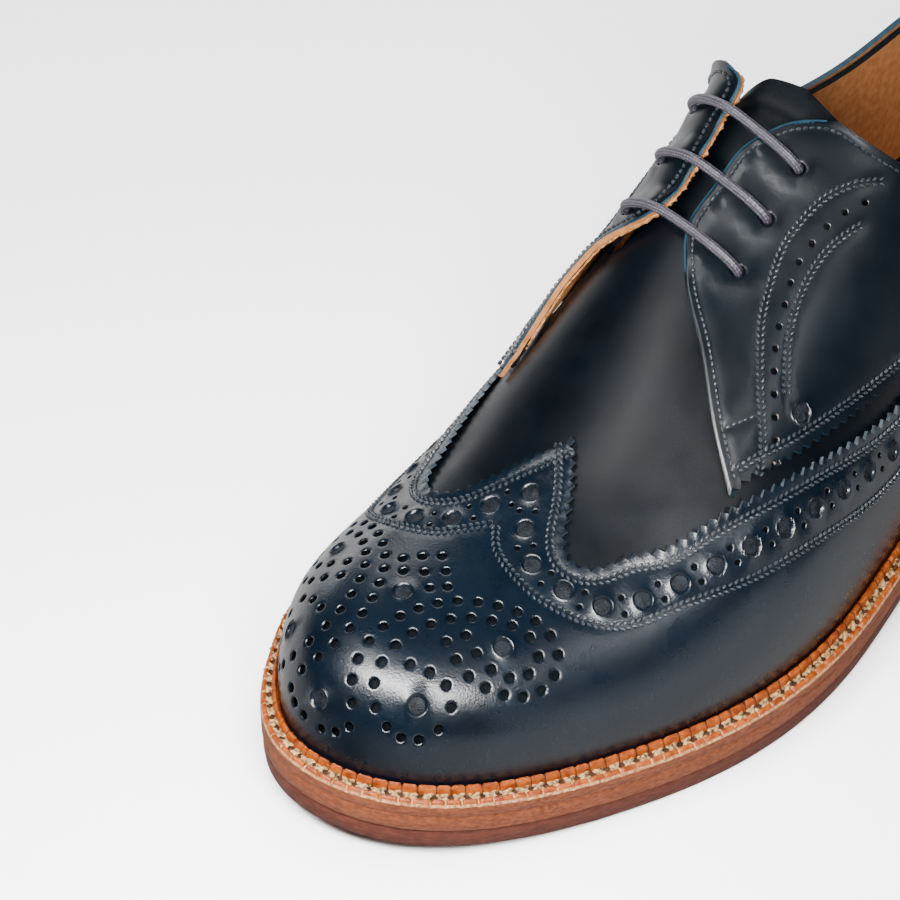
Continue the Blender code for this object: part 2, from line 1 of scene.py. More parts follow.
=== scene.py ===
# %% [markdown]
# # A full brogue derby, dressed over its frame
# The frame gives the plain solids of a left shoe: soles, welt, heel, upper, wing cap, quarters, tongue and
# lace. They could simply be painted, but a brogue is made of cut edges, holes and stitches. So this script
# makes each piece again in finer leather over the same shape, and hides the solid that it replaces.
# Stitches, thread and the linings of the facings come on top. Sizes are in millimetres until a mesh is
# made, which is in metres.

# %% Load the frame
import math
from collections import namedtuple

import bpy
import numpy as np
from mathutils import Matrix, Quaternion, Vector
from mathutils.geometry import delaunay_2d_cdt
from mathutils.kdtree import KDTree


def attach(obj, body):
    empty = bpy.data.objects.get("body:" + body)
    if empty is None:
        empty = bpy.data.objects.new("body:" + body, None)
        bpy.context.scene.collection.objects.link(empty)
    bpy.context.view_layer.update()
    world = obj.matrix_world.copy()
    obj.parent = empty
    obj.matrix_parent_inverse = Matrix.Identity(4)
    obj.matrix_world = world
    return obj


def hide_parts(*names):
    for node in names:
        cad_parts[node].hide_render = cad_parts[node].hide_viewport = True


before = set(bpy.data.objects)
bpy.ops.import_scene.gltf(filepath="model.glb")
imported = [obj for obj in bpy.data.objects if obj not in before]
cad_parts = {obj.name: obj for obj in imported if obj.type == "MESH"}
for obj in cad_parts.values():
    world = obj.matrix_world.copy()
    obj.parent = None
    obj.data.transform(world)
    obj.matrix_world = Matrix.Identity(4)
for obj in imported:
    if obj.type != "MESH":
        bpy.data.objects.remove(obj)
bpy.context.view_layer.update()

bpy.ops.object.select_all(action="DESELECT")
MM = 0.001
LEFT = 1
RIGHT = -1
SIDES = (LEFT, RIGHT)

# %% [markdown]
# ## Camera
# The photo looks down on the toe from the outer side through a long lens, and its edge cuts the shoe off
# behind the laces. The camera could be moved by hand until the picture fits. Here a turn, a rise and a
# distance place it round a target point, because each can then be changed on its own. A small roll about
# the line of sight gives the photo's tilt.

# %% Camera
CAMERA_TURN = math.radians(43.662)
CAMERA_RISE = math.radians(44.87)
CAMERA_ROLL = math.radians(2.14)
CAMERA_DISTANCE = 615.742
CAMERA_TARGET = Vector((-30.233, -79.197, 52.037))
CAMERA_LENS = 108.36
CAMERA_NEAR = 0.01

view_back = Vector((math.sin(CAMERA_TURN) * math.cos(CAMERA_RISE),
                    -math.cos(CAMERA_TURN) * math.cos(CAMERA_RISE),
                    math.sin(CAMERA_RISE)))
bpy.ops.object.camera_add(location=(CAMERA_TARGET + view_back * CAMERA_DISTANCE) * MM)
camera = bpy.context.object
camera.rotation_euler = (view_back.to_track_quat("Z", "Y") @ Quaternion((0, 0, 1), CAMERA_ROLL)).to_euler()
camera.data.lens = CAMERA_LENS
camera.data.clip_start = CAMERA_NEAR
bpy.context.scene.camera = camera
print("camera at", tuple(round(value, 3) for value in camera.location))

# %% [markdown]
# ## Floor and light
# The shoe stands on a white sweep between large soft boxes. A picture of a studio could light it, but
# polished leather mirrors its lamps, so the highlights have to be steered one by one. Each broad highlight
# here is an area light in the direction that the leather mirrors. The last box, from above, lights the
# floor and isn't mirrored. Nor is the floor: below the horizon the room glows to the left and the right
# instead, which gives the lower leather its soft sheen.

# %% Floor
FLOOR_SIZE = 6
bpy.ops.mesh.primitive_plane_add(size=FLOOR_SIZE)
floor = bpy.context.object
floor.name = "floor"
floor.visible_glossy = False
print("floor", FLOOR_SIZE, "m wide")

# %% Soft boxes
Box = namedtuple("Box", "way distance width length power mirrored")
SOFT_BOXES = (
    Box((-0.26, -0.36, 0.90), 1.5, 0.32, 0.24, 5.4, True),
    Box((0.26, -0.60, 0.76), 0.28, 0.30, 0.06, 5.0, True),
    Box((0.55, 0.06, 0.83), 1.5, 0.3, 0.22, 1.9, True),
    Box((-0.92, 0.38, 0.12), 1.8, 0.9, 0.4, 5.5, True),
    Box((-0.6, 0.6, 0.5), 1.8, 1.0, 0.7, 11, True),
    Box((0.98, 0.1, 0.15), 1.8, 1.0, 0.7, 4, True),
    Box((0, 0, 1), 2.2, 2.0, 2.0, 128, False),
)
LIGHT_AIM = Vector((0, -0.06, 0.04))
for number, box in enumerate(SOFT_BOXES):
    way = Vector(box.way).normalized()
    bpy.ops.object.light_add(type="AREA", location=LIGHT_AIM + way * box.distance)
    light = bpy.context.object
    light.name = f"soft_box_{number + 1}"
    light.rotation_euler = way.to_track_quat("Z", "Y").to_euler()
    light.data.shape = "RECTANGLE"
    light.data.size = box.width
    light.data.size_y = box.length
    light.data.energy = box.power
    light.visible_glossy = box.mirrored
    light.visible_camera = False
print("soft boxes", len(SOFT_BOXES))

# %% Room light
SWEEP_GLOW = 1.9
ROOM_LIGHT = 0.04
world = bpy.data.worlds.new("studio")
world.use_nodes = True
room = world.node_tree
direction = room.nodes.new("ShaderNodeSeparateXYZ")
room.links.new(room.nodes.new("ShaderNodeTexCoord").outputs["Generated"], direction.inputs["Vector"])


def room_math(operation, first, second):
    """One step of sums on the room's light, from numbers or the results of other steps."""
    node = room.nodes.new("ShaderNodeMath")
    node.operation = operation
    for socket, value in zip(node.inputs, (first, second)):
        if isinstance(value, (int, float)):
            socket.default_value = value
        else:
            room.links.new(value, socket)
    return node.outputs["Value"]


below = room_math("LESS_THAN", direction.outputs["Z"], 0)
aside = room_math("MULTIPLY", room_math("ABSOLUTE", direction.outputs["X"], 0), SWEEP_GLOW)
glow = room_math("ADD", room_math("MULTIPLY", below, aside), ROOM_LIGHT)
room.links.new(glow, room.nodes["Background"].inputs["Strength"])
room.nodes["Background"].inputs["Color"].default_value = (1, 1, 1, 1)
bpy.context.scene.world = world
print("room light", ROOM_LIGHT, "with a glow of", SWEEP_GLOW, "below")

# %% [markdown]
# ## Materials
# Polished leather is dark and glossy under a thin coat, and a fine pebble grain breaks up the edges of its
# highlights. Pictures of leather could be wrapped round the shoe. Noise from the shader's own nodes is used
# instead, because it needs no unwrapping, has no seams and keeps its size in millimetres on every panel.
# Grain, pores and fibres are bump, and the colour shifts a little from place to place. Small helpers make
# and wire the nodes, so that each leather below is one call.

# %% Main shader
def new_shader(name, colour, roughness):
    """A new material and its main shader."""
    material = bpy.data.materials.new(name)
    material.use_nodes = True
    shader = material.node_tree.nodes["Principled BSDF"]
    shader.inputs["Base Color"].default_value = (*colour, 1)
    shader.inputs["Roughness"].default_value = roughness
    return material, shader


PALE_FLOOR, _ = new_shader("pale_floor", (0.92, 0.92, 0.92), 0.9)
floor.data.materials.append(PALE_FLOOR)
print("floor material", PALE_FLOOR.name)

# %% Noise and pebbles
PEBBLE_SMOOTH = 0.6


def wire(tree, source, target):
    """Link an output of one node to an input of another."""
    tree.links.new(source, target)


def object_coords(tree, stretch=(1, 1, 1)):
    """Object coordinates, stretched along the axes."""
    coords = tree.nodes.new("ShaderNodeTexCoord")
    mapping = tree.nodes.new("ShaderNodeMapping")
    mapping.inputs["Scale"].default_value = stretch
    wire(tree, coords.outputs["Object"], mapping.inputs["Vector"])
    return mapping.outputs["Vector"]


def noise(tree, coords, size, detail=2.0):
    """Noise with grains of about a size in millimetres."""
    node = tree.nodes.new("ShaderNodeTexNoise")
    node.inputs["Scale"].default_value = 1 / (size * MM)
    node.inputs["Detail"].default_value = detail
    wire(tree, coords, node.inputs["Vector"])
    return node.outputs["Fac"]


def pebbles(tree, coords, size):
    """Rounded cells of about a size in millimetres."""
    node = tree.nodes.new("ShaderNodeTexVoronoi")
    node.feature = "SMOOTH_F1"
    node.inputs["Scale"].default_value = 1 / (size * MM)
    node.inputs["Smoothness"].default_value = PEBBLE_SMOOTH
    wire(tree, coords, node.inputs["Vector"])
    return node.outputs["Distance"]


# %% Bump and tones
def bump(tree, height, depth, strength, below=None):
    """A bump of a depth in millimetres, on top of another one."""
    node = tree.nodes.new("ShaderNodeBump")
    node.inputs["Distance"].default_value = depth * MM
    node.inputs["Strength"].default_value = strength
    wire(tree, height, node.inputs["Height"])
    if below is not None:
        wire(tree, below, node.inputs["Normal"])
    return node.outputs["Normal"]


def spread(tree, value, low, high, start=0.35, end=0.65):
    """A value stretched to a range."""
    node = tree.nodes.new("ShaderNodeMapRange")
    node.inputs["From Min"].default_value = start
    node.inputs["From Max"].default_value = end
    node.inputs["To Min"].default_value = low
    node.inputs["To Max"].default_value = high
    wire(tree, value, node.inputs["Value"])
    return node.outputs["Result"]


def two_tones(tree, value, first, second, start=0.35, end=0.65):
    """A colour between two tones."""
    node = tree.nodes.new("ShaderNodeValToRGB")
    node.color_ramp.elements[0].position = start
    node.color_ramp.elements[0].color = (*first, 1)
    node.color_ramp.elements[1].position = end
    node.color_ramp.elements[1].color = (*second, 1)
    wire(tree, value, node.inputs["Fac"])
    return node.outputs["Color"]


# %% Polished leathers
PATCH = 14
SHEEN = 6
PEBBLE = 0.5
PORE = 0.25
PATCH_DEPTH = 0.2
PATCH_STRENGTH = 0.15
GRAIN_DEPTH = 0.05
SHEEN_RANGE = (0.92, 1.12)
COAT_ROUGHNESS = 0.2


def polished_leather(name, dark, light, roughness, gloss, coat, grain):
    """Dyed upper leather: glossy coat, pebble grain, fine pores and broad soft unevenness."""
    material, shader = new_shader(name, dark, roughness)
    tree = material.node_tree
    coords = object_coords(tree)
    colour = two_tones(tree, noise(tree, coords, PATCH, detail=4), dark, light)
    wire(tree, colour, shader.inputs["Base Color"])
    low, high = (roughness * share for share in SHEEN_RANGE)
    wire(tree, spread(tree, noise(tree, coords, SHEEN, detail=5), low, high), shader.inputs["Roughness"])
    surface = bump(tree, noise(tree, coords, PATCH, detail=1), PATCH_DEPTH, PATCH_STRENGTH)
    surface = bump(tree, pebbles(tree, coords, PEBBLE), GRAIN_DEPTH, grain, surface)
    surface = bump(tree, noise(tree, coords, PORE, detail=3), GRAIN_DEPTH, grain, surface)
    wire(tree, surface, shader.inputs["Normal"])
    wire(tree, surface, shader.inputs["Coat Normal"])
    shader.inputs["Specular IOR Level"].default_value = gloss
    shader.inputs["Coat Weight"].default_value = coat
    shader.inputs["Coat Roughness"].default_value = COAT_ROUGHNESS
    return material


NAVY = polished_leather("navy_leather", (0.0002, 0.0006, 0.0013), (0.0004, 0.0011, 0.0022),
                        roughness=0.35, gloss=0.15, coat=0.05, grain=0.24)
QUARTER_NAVY = polished_leather("quarter_leather", (0.0002, 0.0011, 0.0022), (0.0004, 0.0017, 0.0033),
                                roughness=0.32, gloss=0.26, coat=0.14, grain=0.24)
TOE_NAVY = polished_leather("toe_leather", (0.0002, 0.0014, 0.0034), (0.0004, 0.0023, 0.0051),
                            roughness=0.28, gloss=0.28, coat=0.22, grain=0.5)
TONGUE_NAVY = polished_leather("tongue_leather", (0.0003, 0.0009, 0.0018), (0.0006, 0.0014, 0.0026),
                               roughness=0.45, gloss=0.14, coat=0.0, grain=0.4)
print("polished leathers", NAVY.name, QUARTER_NAVY.name, TOE_NAVY.name, TONGUE_NAVY.name)

# %% Plain leather
FIBRE_PATCH = 4
FIBRE_DEPTH = 0.25
FIBRE = 0.5


def plain_leather(name, dark, light, roughness, fibre, stretch=(1, 1, 1), size=FIBRE, gloss=0.2):
    """Undyed or edge-cut leather and thread: matt, with fibres along its grain."""
    material, shader = new_shader(name, dark, roughness)
    tree = material.node_tree
    coords = object_coords(tree, stretch)
    colour = two_tones(tree, noise(tree, coords, size * FIBRE_PATCH, detail=5), dark, light)
    wire(tree, colour, shader.inputs["Base Color"])
    wire(tree, bump(tree, noise(tree, coords, size, detail=4), FIBRE_DEPTH, fibre), shader.inputs["Normal"])
    shader.inputs["Specular IOR Level"].default_value = gloss
    return material


EDGE_TEAL = plain_leather("cut_edge", (0.0028, 0.014, 0.023), (0.006, 0.024, 0.038), 0.45, 0.3)
# The cut faces of the teeth are a lighter grey-blue than the leather, as painted glints.
PINKED_EDGE_GLINT = plain_leather("pinked_edge_glints", (0.010, 0.014, 0.018), (0.035, 0.042, 0.050), 0.45, 0.3)
STAMPED = plain_leather("stamped_leather", (0.0010, 0.0016, 0.0024), (0.006, 0.0075, 0.010), 0.5, 0.9,
                        size=0.4, gloss=0.1)
# Painted shade: a dark, dull leather for hidden insides, hole walls, covered faces and shaded edges.
SHADE_LEATHER = plain_leather("painted_shade_leather", (0.0006, 0.001, 0.0015), (0.002, 0.003, 0.004), 0.6, 0.5,
                         gloss=0.04)
RAW_EDGE = plain_leather("raw_lining", (0.11, 0.041, 0.010), (0.29, 0.13, 0.042), 0.7, 0.8, size=0.25)
LINING = plain_leather("lining", (0.22, 0.085, 0.026), (0.30, 0.13, 0.05), 0.6, 0.25)
print("cut and lining leathers", EDGE_TEAL.name, PINKED_EDGE_GLINT.name, RAW_EDGE.name, LINING.name)

# %% Sole leathers and threads
TAN = plain_leather("welt_leather", (0.09, 0.013, 0.0008), (0.20, 0.042, 0.0035), 0.38, 0.7)
COPPER = plain_leather("midsole_leather", (0.060, 0.0120, 0.0020), (0.124, 0.0295, 0.0062), 0.75, 0.8,
                       stretch=(1, 1, 2), size=0.35)
RED_BROWN = plain_leather("outsole_leather", (0.034, 0.0058, 0.0021), (0.064, 0.0135, 0.0052), 0.65, 0.5,
                          stretch=(1, 1, 3))
DARK_BROWN = plain_leather("heel_leather", (0.05, 0.016, 0.009), (0.08, 0.028, 0.016), 0.38, 0.4,
                           stretch=(1, 1, 3))
BOARD = plain_leather("insole_leather", (0.25, 0.14, 0.07), (0.32, 0.19, 0.10), 0.65, 0.25)
NAVY_THREAD = plain_leather("navy_thread", (0.003, 0.005, 0.007), (0.020, 0.024, 0.029), 0.32, 0.4,
                            size=0.2, gloss=0.45)
PALE_THREAD = plain_leather("welt_thread", (0.022, 0.008, 0.002), (0.36, 0.22, 0.095), 0.6, 0.9, size=0.2)
PALE_EDGE = plain_leather("frayed_edge", (0.13, 0.05, 0.016), (0.34, 0.19, 0.09), 0.8, 0.8, size=0.2)
# Painted shade for the welt's channel under the thread and for the wheel's grooves in the bead.
CHANNEL_SHADE = plain_leather("welt_channel_shade", (0.012, 0.005, 0.002), (0.035, 0.014, 0.006), 0.8, 0.5)
print("materials", len(bpy.data.materials))

# %% [markdown]
# ## The last
# A shoe is pulled over a last, a solid form of the foot, so every panel follows the last's surface. It
# could be sculpted, but then no edge would have a known place. Here a short table gives its sections from
# toe to heel, and smooth curves run through them. The same table shaped the frame's solids, so the finer
# leather lies on them.

# %% Sections of the last
LAST_LENGTH = 290.0
GAP = 0.3
TOE_SPRING = 5.5
BALL_FRONT = 70.0
BALL_BACK = 115.0
HEEL_SEAT = 235.0
HEEL_HEIGHT = 21.5
OUTSOLE = 5.7
MIDSOLE = 5.1
WELT = 4.6
STACK = OUTSOLE + MIDSOLE + WELT + 2 * GAP
Section = namedtuple("Section", "back left right ridge lean rise left_shoulder right_shoulder")
LAST = (
    Section(0, 0, 0, TOE_SPRING + STACK, 0, 0.60, 0.60, 0.60),
    Section(12, 25, 21, 43, 0, 0.62, 0.62, 0.62),
    Section(30, 37, 32.5, 47, 0, 0.62, 0.62, 0.62),
    Section(55, 47.5, 38, 49, 0, 0.60, 0.60, 0.60),
    Section(82, 55, 41, 59, -0.5, 0.60, 0.56, 0.56),
    Section(110, 56, 42, 77, -9, 0.60, 0.52, 0.56),
    Section(138, 51, 38, 95, -15.5, 0.60, 0.50, 0.80),
    Section(165, 45.5, 31.5, 113.5, -18, 0.62, 0.48, 1.00),
    Section(192, 39.5, 29.5, 119, -14, 0.66, 0.48, 0.95),
    Section(220, 35.5, 30, 124, -9, 0.70, 0.50, 0.80),
    Section(250, 33, 31, 126, -4, 0.75, 0.55, 0.65),
    Section(276, 25, 24.5, 126, 0, 0.80, 0.60, 0.60),
    Section(LAST_LENGTH, 0, 0, 126, 0, 0.80, 0.60, 0.60),
)
BULGE = 1.06
HEEL_CURVE_FROM = 190.0
HEEL_SWELL = 2.0
HEEL_BEND = 44.0
SWELL_TOP = 4 / 27
print("last", len(LAST), "sections,", LAST_LENGTH, "mm long")

# %% Smooth curves through a table
def natural_spline(knots, values):
    """A cubic through the knots with no bend at its ends."""
    knots = np.asarray(knots, float)
    values = np.asarray(values, float)
    gap = np.diff(knots)
    slope = np.diff(values) / gap
    system = np.eye(len(knots))
    load = np.zeros(len(knots))
    for i in range(1, len(knots) - 1):
        system[i, i - 1:i + 2] = gap[i - 1], 2 * (gap[i - 1] + gap[i]), gap[i]
        load[i] = 6 * (slope[i] - slope[i - 1])
    bend = np.linalg.solve(system, load)

    def curve(x):
        i = np.clip(np.searchsorted(knots, x) - 1, 0, len(gap) - 1)
        after = x - knots[i]
        before = knots[i + 1] - x
        cubic = (bend[i] * before ** 3 + bend[i + 1] * after ** 3) / (6 * gap[i])
        line_back = (values[i] / gap[i] - bend[i] * gap[i] / 6) * before
        line_on = (values[i + 1] / gap[i] - bend[i + 1] * gap[i] / 6) * after
        return cubic + line_back + line_on

    return curve


def sweep(back):
    """Angle that runs from 0 at the toe to pi at the heel, so that both ends come out round."""
    return np.arccos(np.clip(1 - 2 * np.asarray(back, float) / LAST_LENGTH, -1, 1))


def table(rows, back):
    """A value read from a short table whose rows start with their distance back."""
    return np.interp(back, [row[0] for row in rows], [row[1] for row in rows])


COLUMN = {name: natural_spline(sweep([row.back for row in LAST]), [getattr(row, name) for row in LAST])
          for name in Section._fields}

print("ridge half way", round(float(COLUMN["ridge"](math.pi / 2)), 1), "mm over the floor")

# %% Surface of the last
def unit(vectors):
    """Directions of length 1."""
    return vectors / np.linalg.norm(vectors, axis=-1, keepdims=True)


def tread(back):
    """Height of the outsole's underside: toe spring, flat ball, arch and heel seat."""
    spring = TOE_SPRING * np.clip(1 - back / BALL_FRONT, 0, None) ** 2
    rise = np.clip((back - BALL_BACK) / (HEEL_SEAT - BALL_BACK), 0, 1)
    return spring + HEEL_HEIGHT * rise ** 2 * (3 - 2 * rise)


def bezier(share, start, first, second, end):
    """A cubic Bezier value at a share from 0 to 1."""
    rest = 1 - share
    return (rest ** 3 * start + 3 * rest ** 2 * share * first
            + 3 * rest * share ** 2 * second + share ** 3 * end)


def last_surface(phi, t):
    """Points on the last: t is 1 on the left feather line, 0 on the ridge, -1 on the right one."""
    phi, t = np.broadcast_arrays(np.asarray(phi, float), np.asarray(t, float))
    back = LAST_LENGTH * (1 - np.cos(phi)) / 2
    reach = np.where(t >= 0, COLUMN["left"](phi), -COLUMN["right"](phi))
    lean = COLUMN["lean"](phi)
    base = tread(back) + STACK
    height = COLUMN["ridge"](phi) - base
    climb = 1 - np.abs(t)
    shoulder = np.where(t >= 0, COLUMN["left_shoulder"](phi), COLUMN["right_shoulder"](phi))
    x = bezier(climb, reach, BULGE * reach, lean + shoulder * (reach - lean), lean)
    z = bezier(climb, 0, COLUMN["rise"](phi) * height, height, height)
    weight = np.clip((back - HEEL_CURVE_FROM) / (LAST_LENGTH - HEEL_CURVE_FROM), 0, 1) ** 2
    bend = z / HEEL_BEND
    y = back + HEEL_SWELL * bend ** 2 * (1 - bend) / SWELL_TOP * weight
    return np.stack([x, y, base + z], -1)


def skin(phi, t, lift):
    """Points at a height over the last's surface, along its normal."""
    pole = 0.05
    step = 0.001
    phi, t = np.broadcast_arrays(np.asarray(phi, float), np.asarray(t, float))
    inner = np.clip(phi, pole, math.pi - pole)
    along = last_surface(inner + step, t) - last_surface(inner - step, t)
    around = last_surface(inner, np.minimum(t + step, 1)) - last_surface(inner, np.maximum(t - step, -1))
    normal = np.cross(around, along)
    normal[phi > math.pi - step, 0] = 0
    normal[phi < step] = (0, -1, 0)
    normal = unit(normal)
    return last_surface(phi, t) + normal * np.asarray(lift, float)[..., None]


print("ridge over the ball", last_surface(sweep(BALL_BACK), 0.0).round(1), "mm")

# %% Sole outline beside the feather line
Margin = namedtuple("Margin", "back width")
SOLE_MARGIN = {
    LEFT: (Margin(0, 5.6), Margin(140, 5.6), Margin(200, 4.8), Margin(LAST_LENGTH, 4.2)),
    RIGHT: (Margin(0, 5.6), Margin(6, 4.8), Margin(16, 3.8), Margin(140, 3.8), Margin(LAST_LENGTH, 4.2)),
}
FULL_TURN = 2 * math.pi


def feather_line(turns):
    """Points on the feather line: a turn runs round from the toe by the left side."""
    turns = np.asarray(turns, float) % FULL_TURN
    on_left = turns <= math.pi
    return last_surface(np.where(on_left, turns, FULL_TURN - turns), np.where(on_left, 1.0, -1.0))


def sole_margin(turns):
    """Width from the feather line to the sole's edge."""
    turns = np.asarray(turns, float) % FULL_TURN
    back = LAST_LENGTH * (1 - np.cos(turns)) / 2
    return np.where(turns <= math.pi, table(SOLE_MARGIN[LEFT], back), table(SOLE_MARGIN[RIGHT], back))


def rim_loop(turns, offset, level):
    """A loop beside the feather line at a height over the outsole's underside."""
    step = 0.002
    ahead = feather_line(turns + step) - feather_line(turns - step)
    normal = unit(np.stack([ahead[:, 1], -ahead[:, 0]], -1))
    plan = feather_line(turns)[:, :2] + normal * np.broadcast_to(offset, len(turns))[:, None]
    return np.column_stack([plan, tread(plan[:, 1]) + level])


FRAME_LOOP = 70
frame_turns = FULL_TURN * np.arange(FRAME_LOOP) / FRAME_LOOP
frame_outline = rim_loop(frame_turns, sole_margin(frame_turns), 0)
SHOE_MIDDLE = (frame_outline.min(axis=0) + frame_outline.max(axis=0)) / 2
SHOE_MIDDLE[2] = 0
print("sole outline", (np.ptp(frame_outline, axis=0)[:2]).round(1), "mm")

# %% [markdown]
# ## The flat pattern
# A pattern cutter tapes the last, cuts the tape off and lays it flat. An unwrapped mesh would do the same,
# but it stretches. The chart here is worked out from lengths on the last: its first axis runs along the
# shoe and its second round it from the ridge, both in true millimetres. A panel can be cut and punched on
# it and then laid on the last at any height.

# %% Chart of the last
CHART_ROWS = 720
CHART_COLUMNS = 80
MID_SHARE = 0.6
PHI = np.linspace(0, math.pi, CHART_ROWS + 1)
SHARE = np.linspace(0, 1, CHART_COLUMNS + 1)
TINY = 1e-9
SIDE_SHARE = {side: side * (SHARE + TINY) for side in SIDES}


def running_length(points):
    """Length along a line of points, or along each row of lines."""
    steps = np.linalg.norm(np.diff(points, axis=-2), axis=-1)
    zero = np.zeros(steps.shape[:-1] + (1,))
    return np.concatenate([zero, np.cumsum(steps, axis=-1)], axis=-1)


RULER = {side: running_length(last_surface(PHI[:, None], SIDE_SHARE[side][None])) for side in SIDES}
RUN = np.mean([running_length(last_surface(PHI, side * MID_SHARE)) for side in SIDES], axis=0)
CHART_END = RUN[-1]


def run_of(back):
    """Distance along the chart of a distance back from the toe."""
    return np.interp(sweep(back), PHI, RUN)


def back_of(run):
    """Distance back from the toe of a distance along the chart."""
    return LAST_LENGTH * (1 - np.cos(np.interp(run, RUN, PHI))) / 2


def half_girth(run, side):
    """Girth from the ridge to the feather line."""
    return np.interp(run, RUN, RULER[side][:, -1])


print("chart", round(CHART_END), "mm long")

# %% From the chart to the last
def locate(chart):
    """Angle and share on the last of places on the chart."""
    run, girth = np.asarray(chart, float).T
    phi = np.interp(run, RUN, PHI)
    row = np.clip((phi / math.pi * CHART_ROWS).astype(int), 0, CHART_ROWS - 1)
    weight = (phi / math.pi * CHART_ROWS - row)[:, None]
    share = np.zeros(len(run))
    for side in SIDES:
        rule = RULER[side][row] * (1 - weight) + RULER[side][row + 1] * weight
        reach = np.clip(girth * side, 0, None)
        below = np.clip((rule < reach[:, None]).sum(axis=1) - 1, 0, CHART_COLUMNS - 1)
        start = np.take_along_axis(rule, below[:, None], 1)[:, 0]
        end = np.take_along_axis(rule, below[:, None] + 1, 1)[:, 0]
        part = np.clip((reach - start) / np.maximum(end - start, TINY), 0, 1)
        on_side = girth * side > 0
        share[on_side] = (side * (below + part) / CHART_COLUMNS)[on_side]
    return phi, share


def lay(chart, lift=0.0):
    """Places on the chart laid on the last, at a height over it."""
    phi, share = locate(chart)
    return skin(phi, share, np.broadcast_to(lift, len(phi))) - SHOE_MIDDLE


def slopes(chart):
    """How a place on the last moves with the chart's two axes, and the normal there."""
    step = 0.2
    run = np.clip(chart[:, 0], 2 * step, CHART_END - 2 * step)
    most = {side: half_girth(run, side) - 2 * step for side in SIDES}
    chart = np.column_stack([run, np.clip(chart[:, 1], -most[RIGHT], most[LEFT])])
    along = (lay(chart + (step, 0)) - lay(chart - (step, 0))) / (2 * step)
    across = (lay(chart + (0, step)) - lay(chart - (0, step))) / (2 * step)
    return along, across, unit(np.cross(across, along))


print("the chart's middle lies at", lay(np.array([[CHART_END / 2, 0]]))[0].round(1))

# %% Moves on the chart
def dot(first, second):
    """Dot product of each pair of directions."""
    return (first * second).sum(axis=-1)


def moved(chart, way):
    """Places on the chart after a move along the shoe's surface, given in space."""
    along, across, _ = slopes(chart)
    size = dot(along, along) * dot(across, across) - dot(along, across) ** 2
    run = (dot(along, way) * dot(across, across) - dot(across, way) * dot(along, across)) / size
    girth = (dot(across, way) * dot(along, along) - dot(along, way) * dot(along, across)) / size
    return chart + np.stack([run, girth], -1)


def frames(line):
    """Direction along a line, direction to its left and normal, at each of its points."""
    along, across, normal = slopes(line)
    step = np.gradient(line, axis=0)
    tangent = unit(along * step[:, :1] + across * step[:, 1:])
    return tangent, np.cross(normal, tangent), normal


def beside(line, distance):
    """The line moved to its left by a distance, which may differ along it."""
    _, side, _ = frames(line)
    return moved(line, side * np.broadcast_to(distance, len(line))[:, None])


def circle(centre, radius, count):
    """A ring of chart places round a centre."""
    centres = np.repeat(np.array([centre], float), count, axis=0)
    along, _, normal = slopes(centres)
    along = unit(along)
    side = np.cross(normal, along)
    turn = (FULL_TURN * np.arange(count) / count)[:, None]
    return moved(centres, radius * (np.cos(turn) * along + np.sin(turn) * side))


print("a ring of 1 mm takes up", np.ptp(circle((CHART_END / 2, 0), 1, 8), axis=0).round(2), "on the chart")

# %% Lines on the chart
CURVE_POINTS = 30


def even(line, spacing):
    """The same line with its points a spacing apart on the shoe."""
    length = running_length(lay(line))
    places = np.linspace(0, length[-1], max(int(round(length[-1] / spacing)), 2) + 1)
    return np.stack([np.interp(places, length, line[:, axis]) for axis in (0, 1)], -1)


def through(stops, spacing):
    """A smooth line through chart places, with points a spacing apart."""
    stops = np.array(stops, float)
    chord = running_length(stops)
    fine = np.linspace(0, chord[-1], CURVE_POINTS * len(stops))
    return even(np.stack([natural_spline(chord, stops[:, axis])(fine) for axis in (0, 1)], -1), spacing)


Ridge = namedtuple("Ridge", "back girth")
Feather = namedtuple("Feather", "back up")
Height = namedtuple("Height", "back height")


def chart_place(stop, side):
    """Chart place of a pattern point, which says how far round, up or high it is."""
    run = run_of(stop.back)
    if isinstance(stop, Ridge):
        girth = stop.girth
    elif isinstance(stop, Feather):
        girth = half_girth(run, side) - stop.up
    else:
        section = last_surface(sweep(stop.back), SIDE_SHARE[side])
        girth = np.interp(-stop.height, -section[:, 2], running_length(section))
    return run, side * girth


def pattern(stops, side, spacing):
    """A smooth chart line through pattern points of one side."""
    return through([chart_place(stop, side) for stop in stops], spacing)


print("back seam", round(float(half_girth(CHART_END, LEFT))), "mm from ridge to feather line")

# %% [markdown]
# ## Cutting a panel
# Upper leather is cut flat, punched, and pulled over the last. In Blender a sheet could be shrink-wrapped
# onto the last, but its edges and holes would slide. Here each panel is filled with triangles while it is
# still flat, with its holes left out and extra points where it dips at a seam. Then every point is laid on
# the last, and Solidify gives the sheet its thickness inwards.

# %% Near places
def tree_of(points):
    """A quick finder of the nearest of some points, flat or in space."""
    finder = KDTree(len(points))
    for i, point in enumerate(points):
        finder.insert((*point, 0)[:3], i)
    finder.balance()
    return finder


def nearest(points, finder):
    """How far each flat point is from the nearest one of a finder."""
    return np.array([finder.find((point[0], point[1], 0))[2] for point in points])


def within(places, outline):
    """Which places on the chart lie inside an outline."""
    inside = np.zeros(len(places), bool)
    for start, end in zip(outline, np.roll(outline, -1, axis=0)):
        spans = (start[1] > places[:, 1]) != (end[1] > places[:, 1])
        rise = end[1] - start[1] or TINY
        crossing = start[0] + (places[:, 1] - start[1]) * (end[0] - start[0]) / rise
        inside ^= spans & (places[:, 0] < crossing)
    return inside


# %% Mesh pieces
SMOOTH_ANGLE = math.radians(38)
INSIDE = 1
RIM = 2
# Slot of the painted shade
PAINTED_SHADE = 3
STAMP = 5


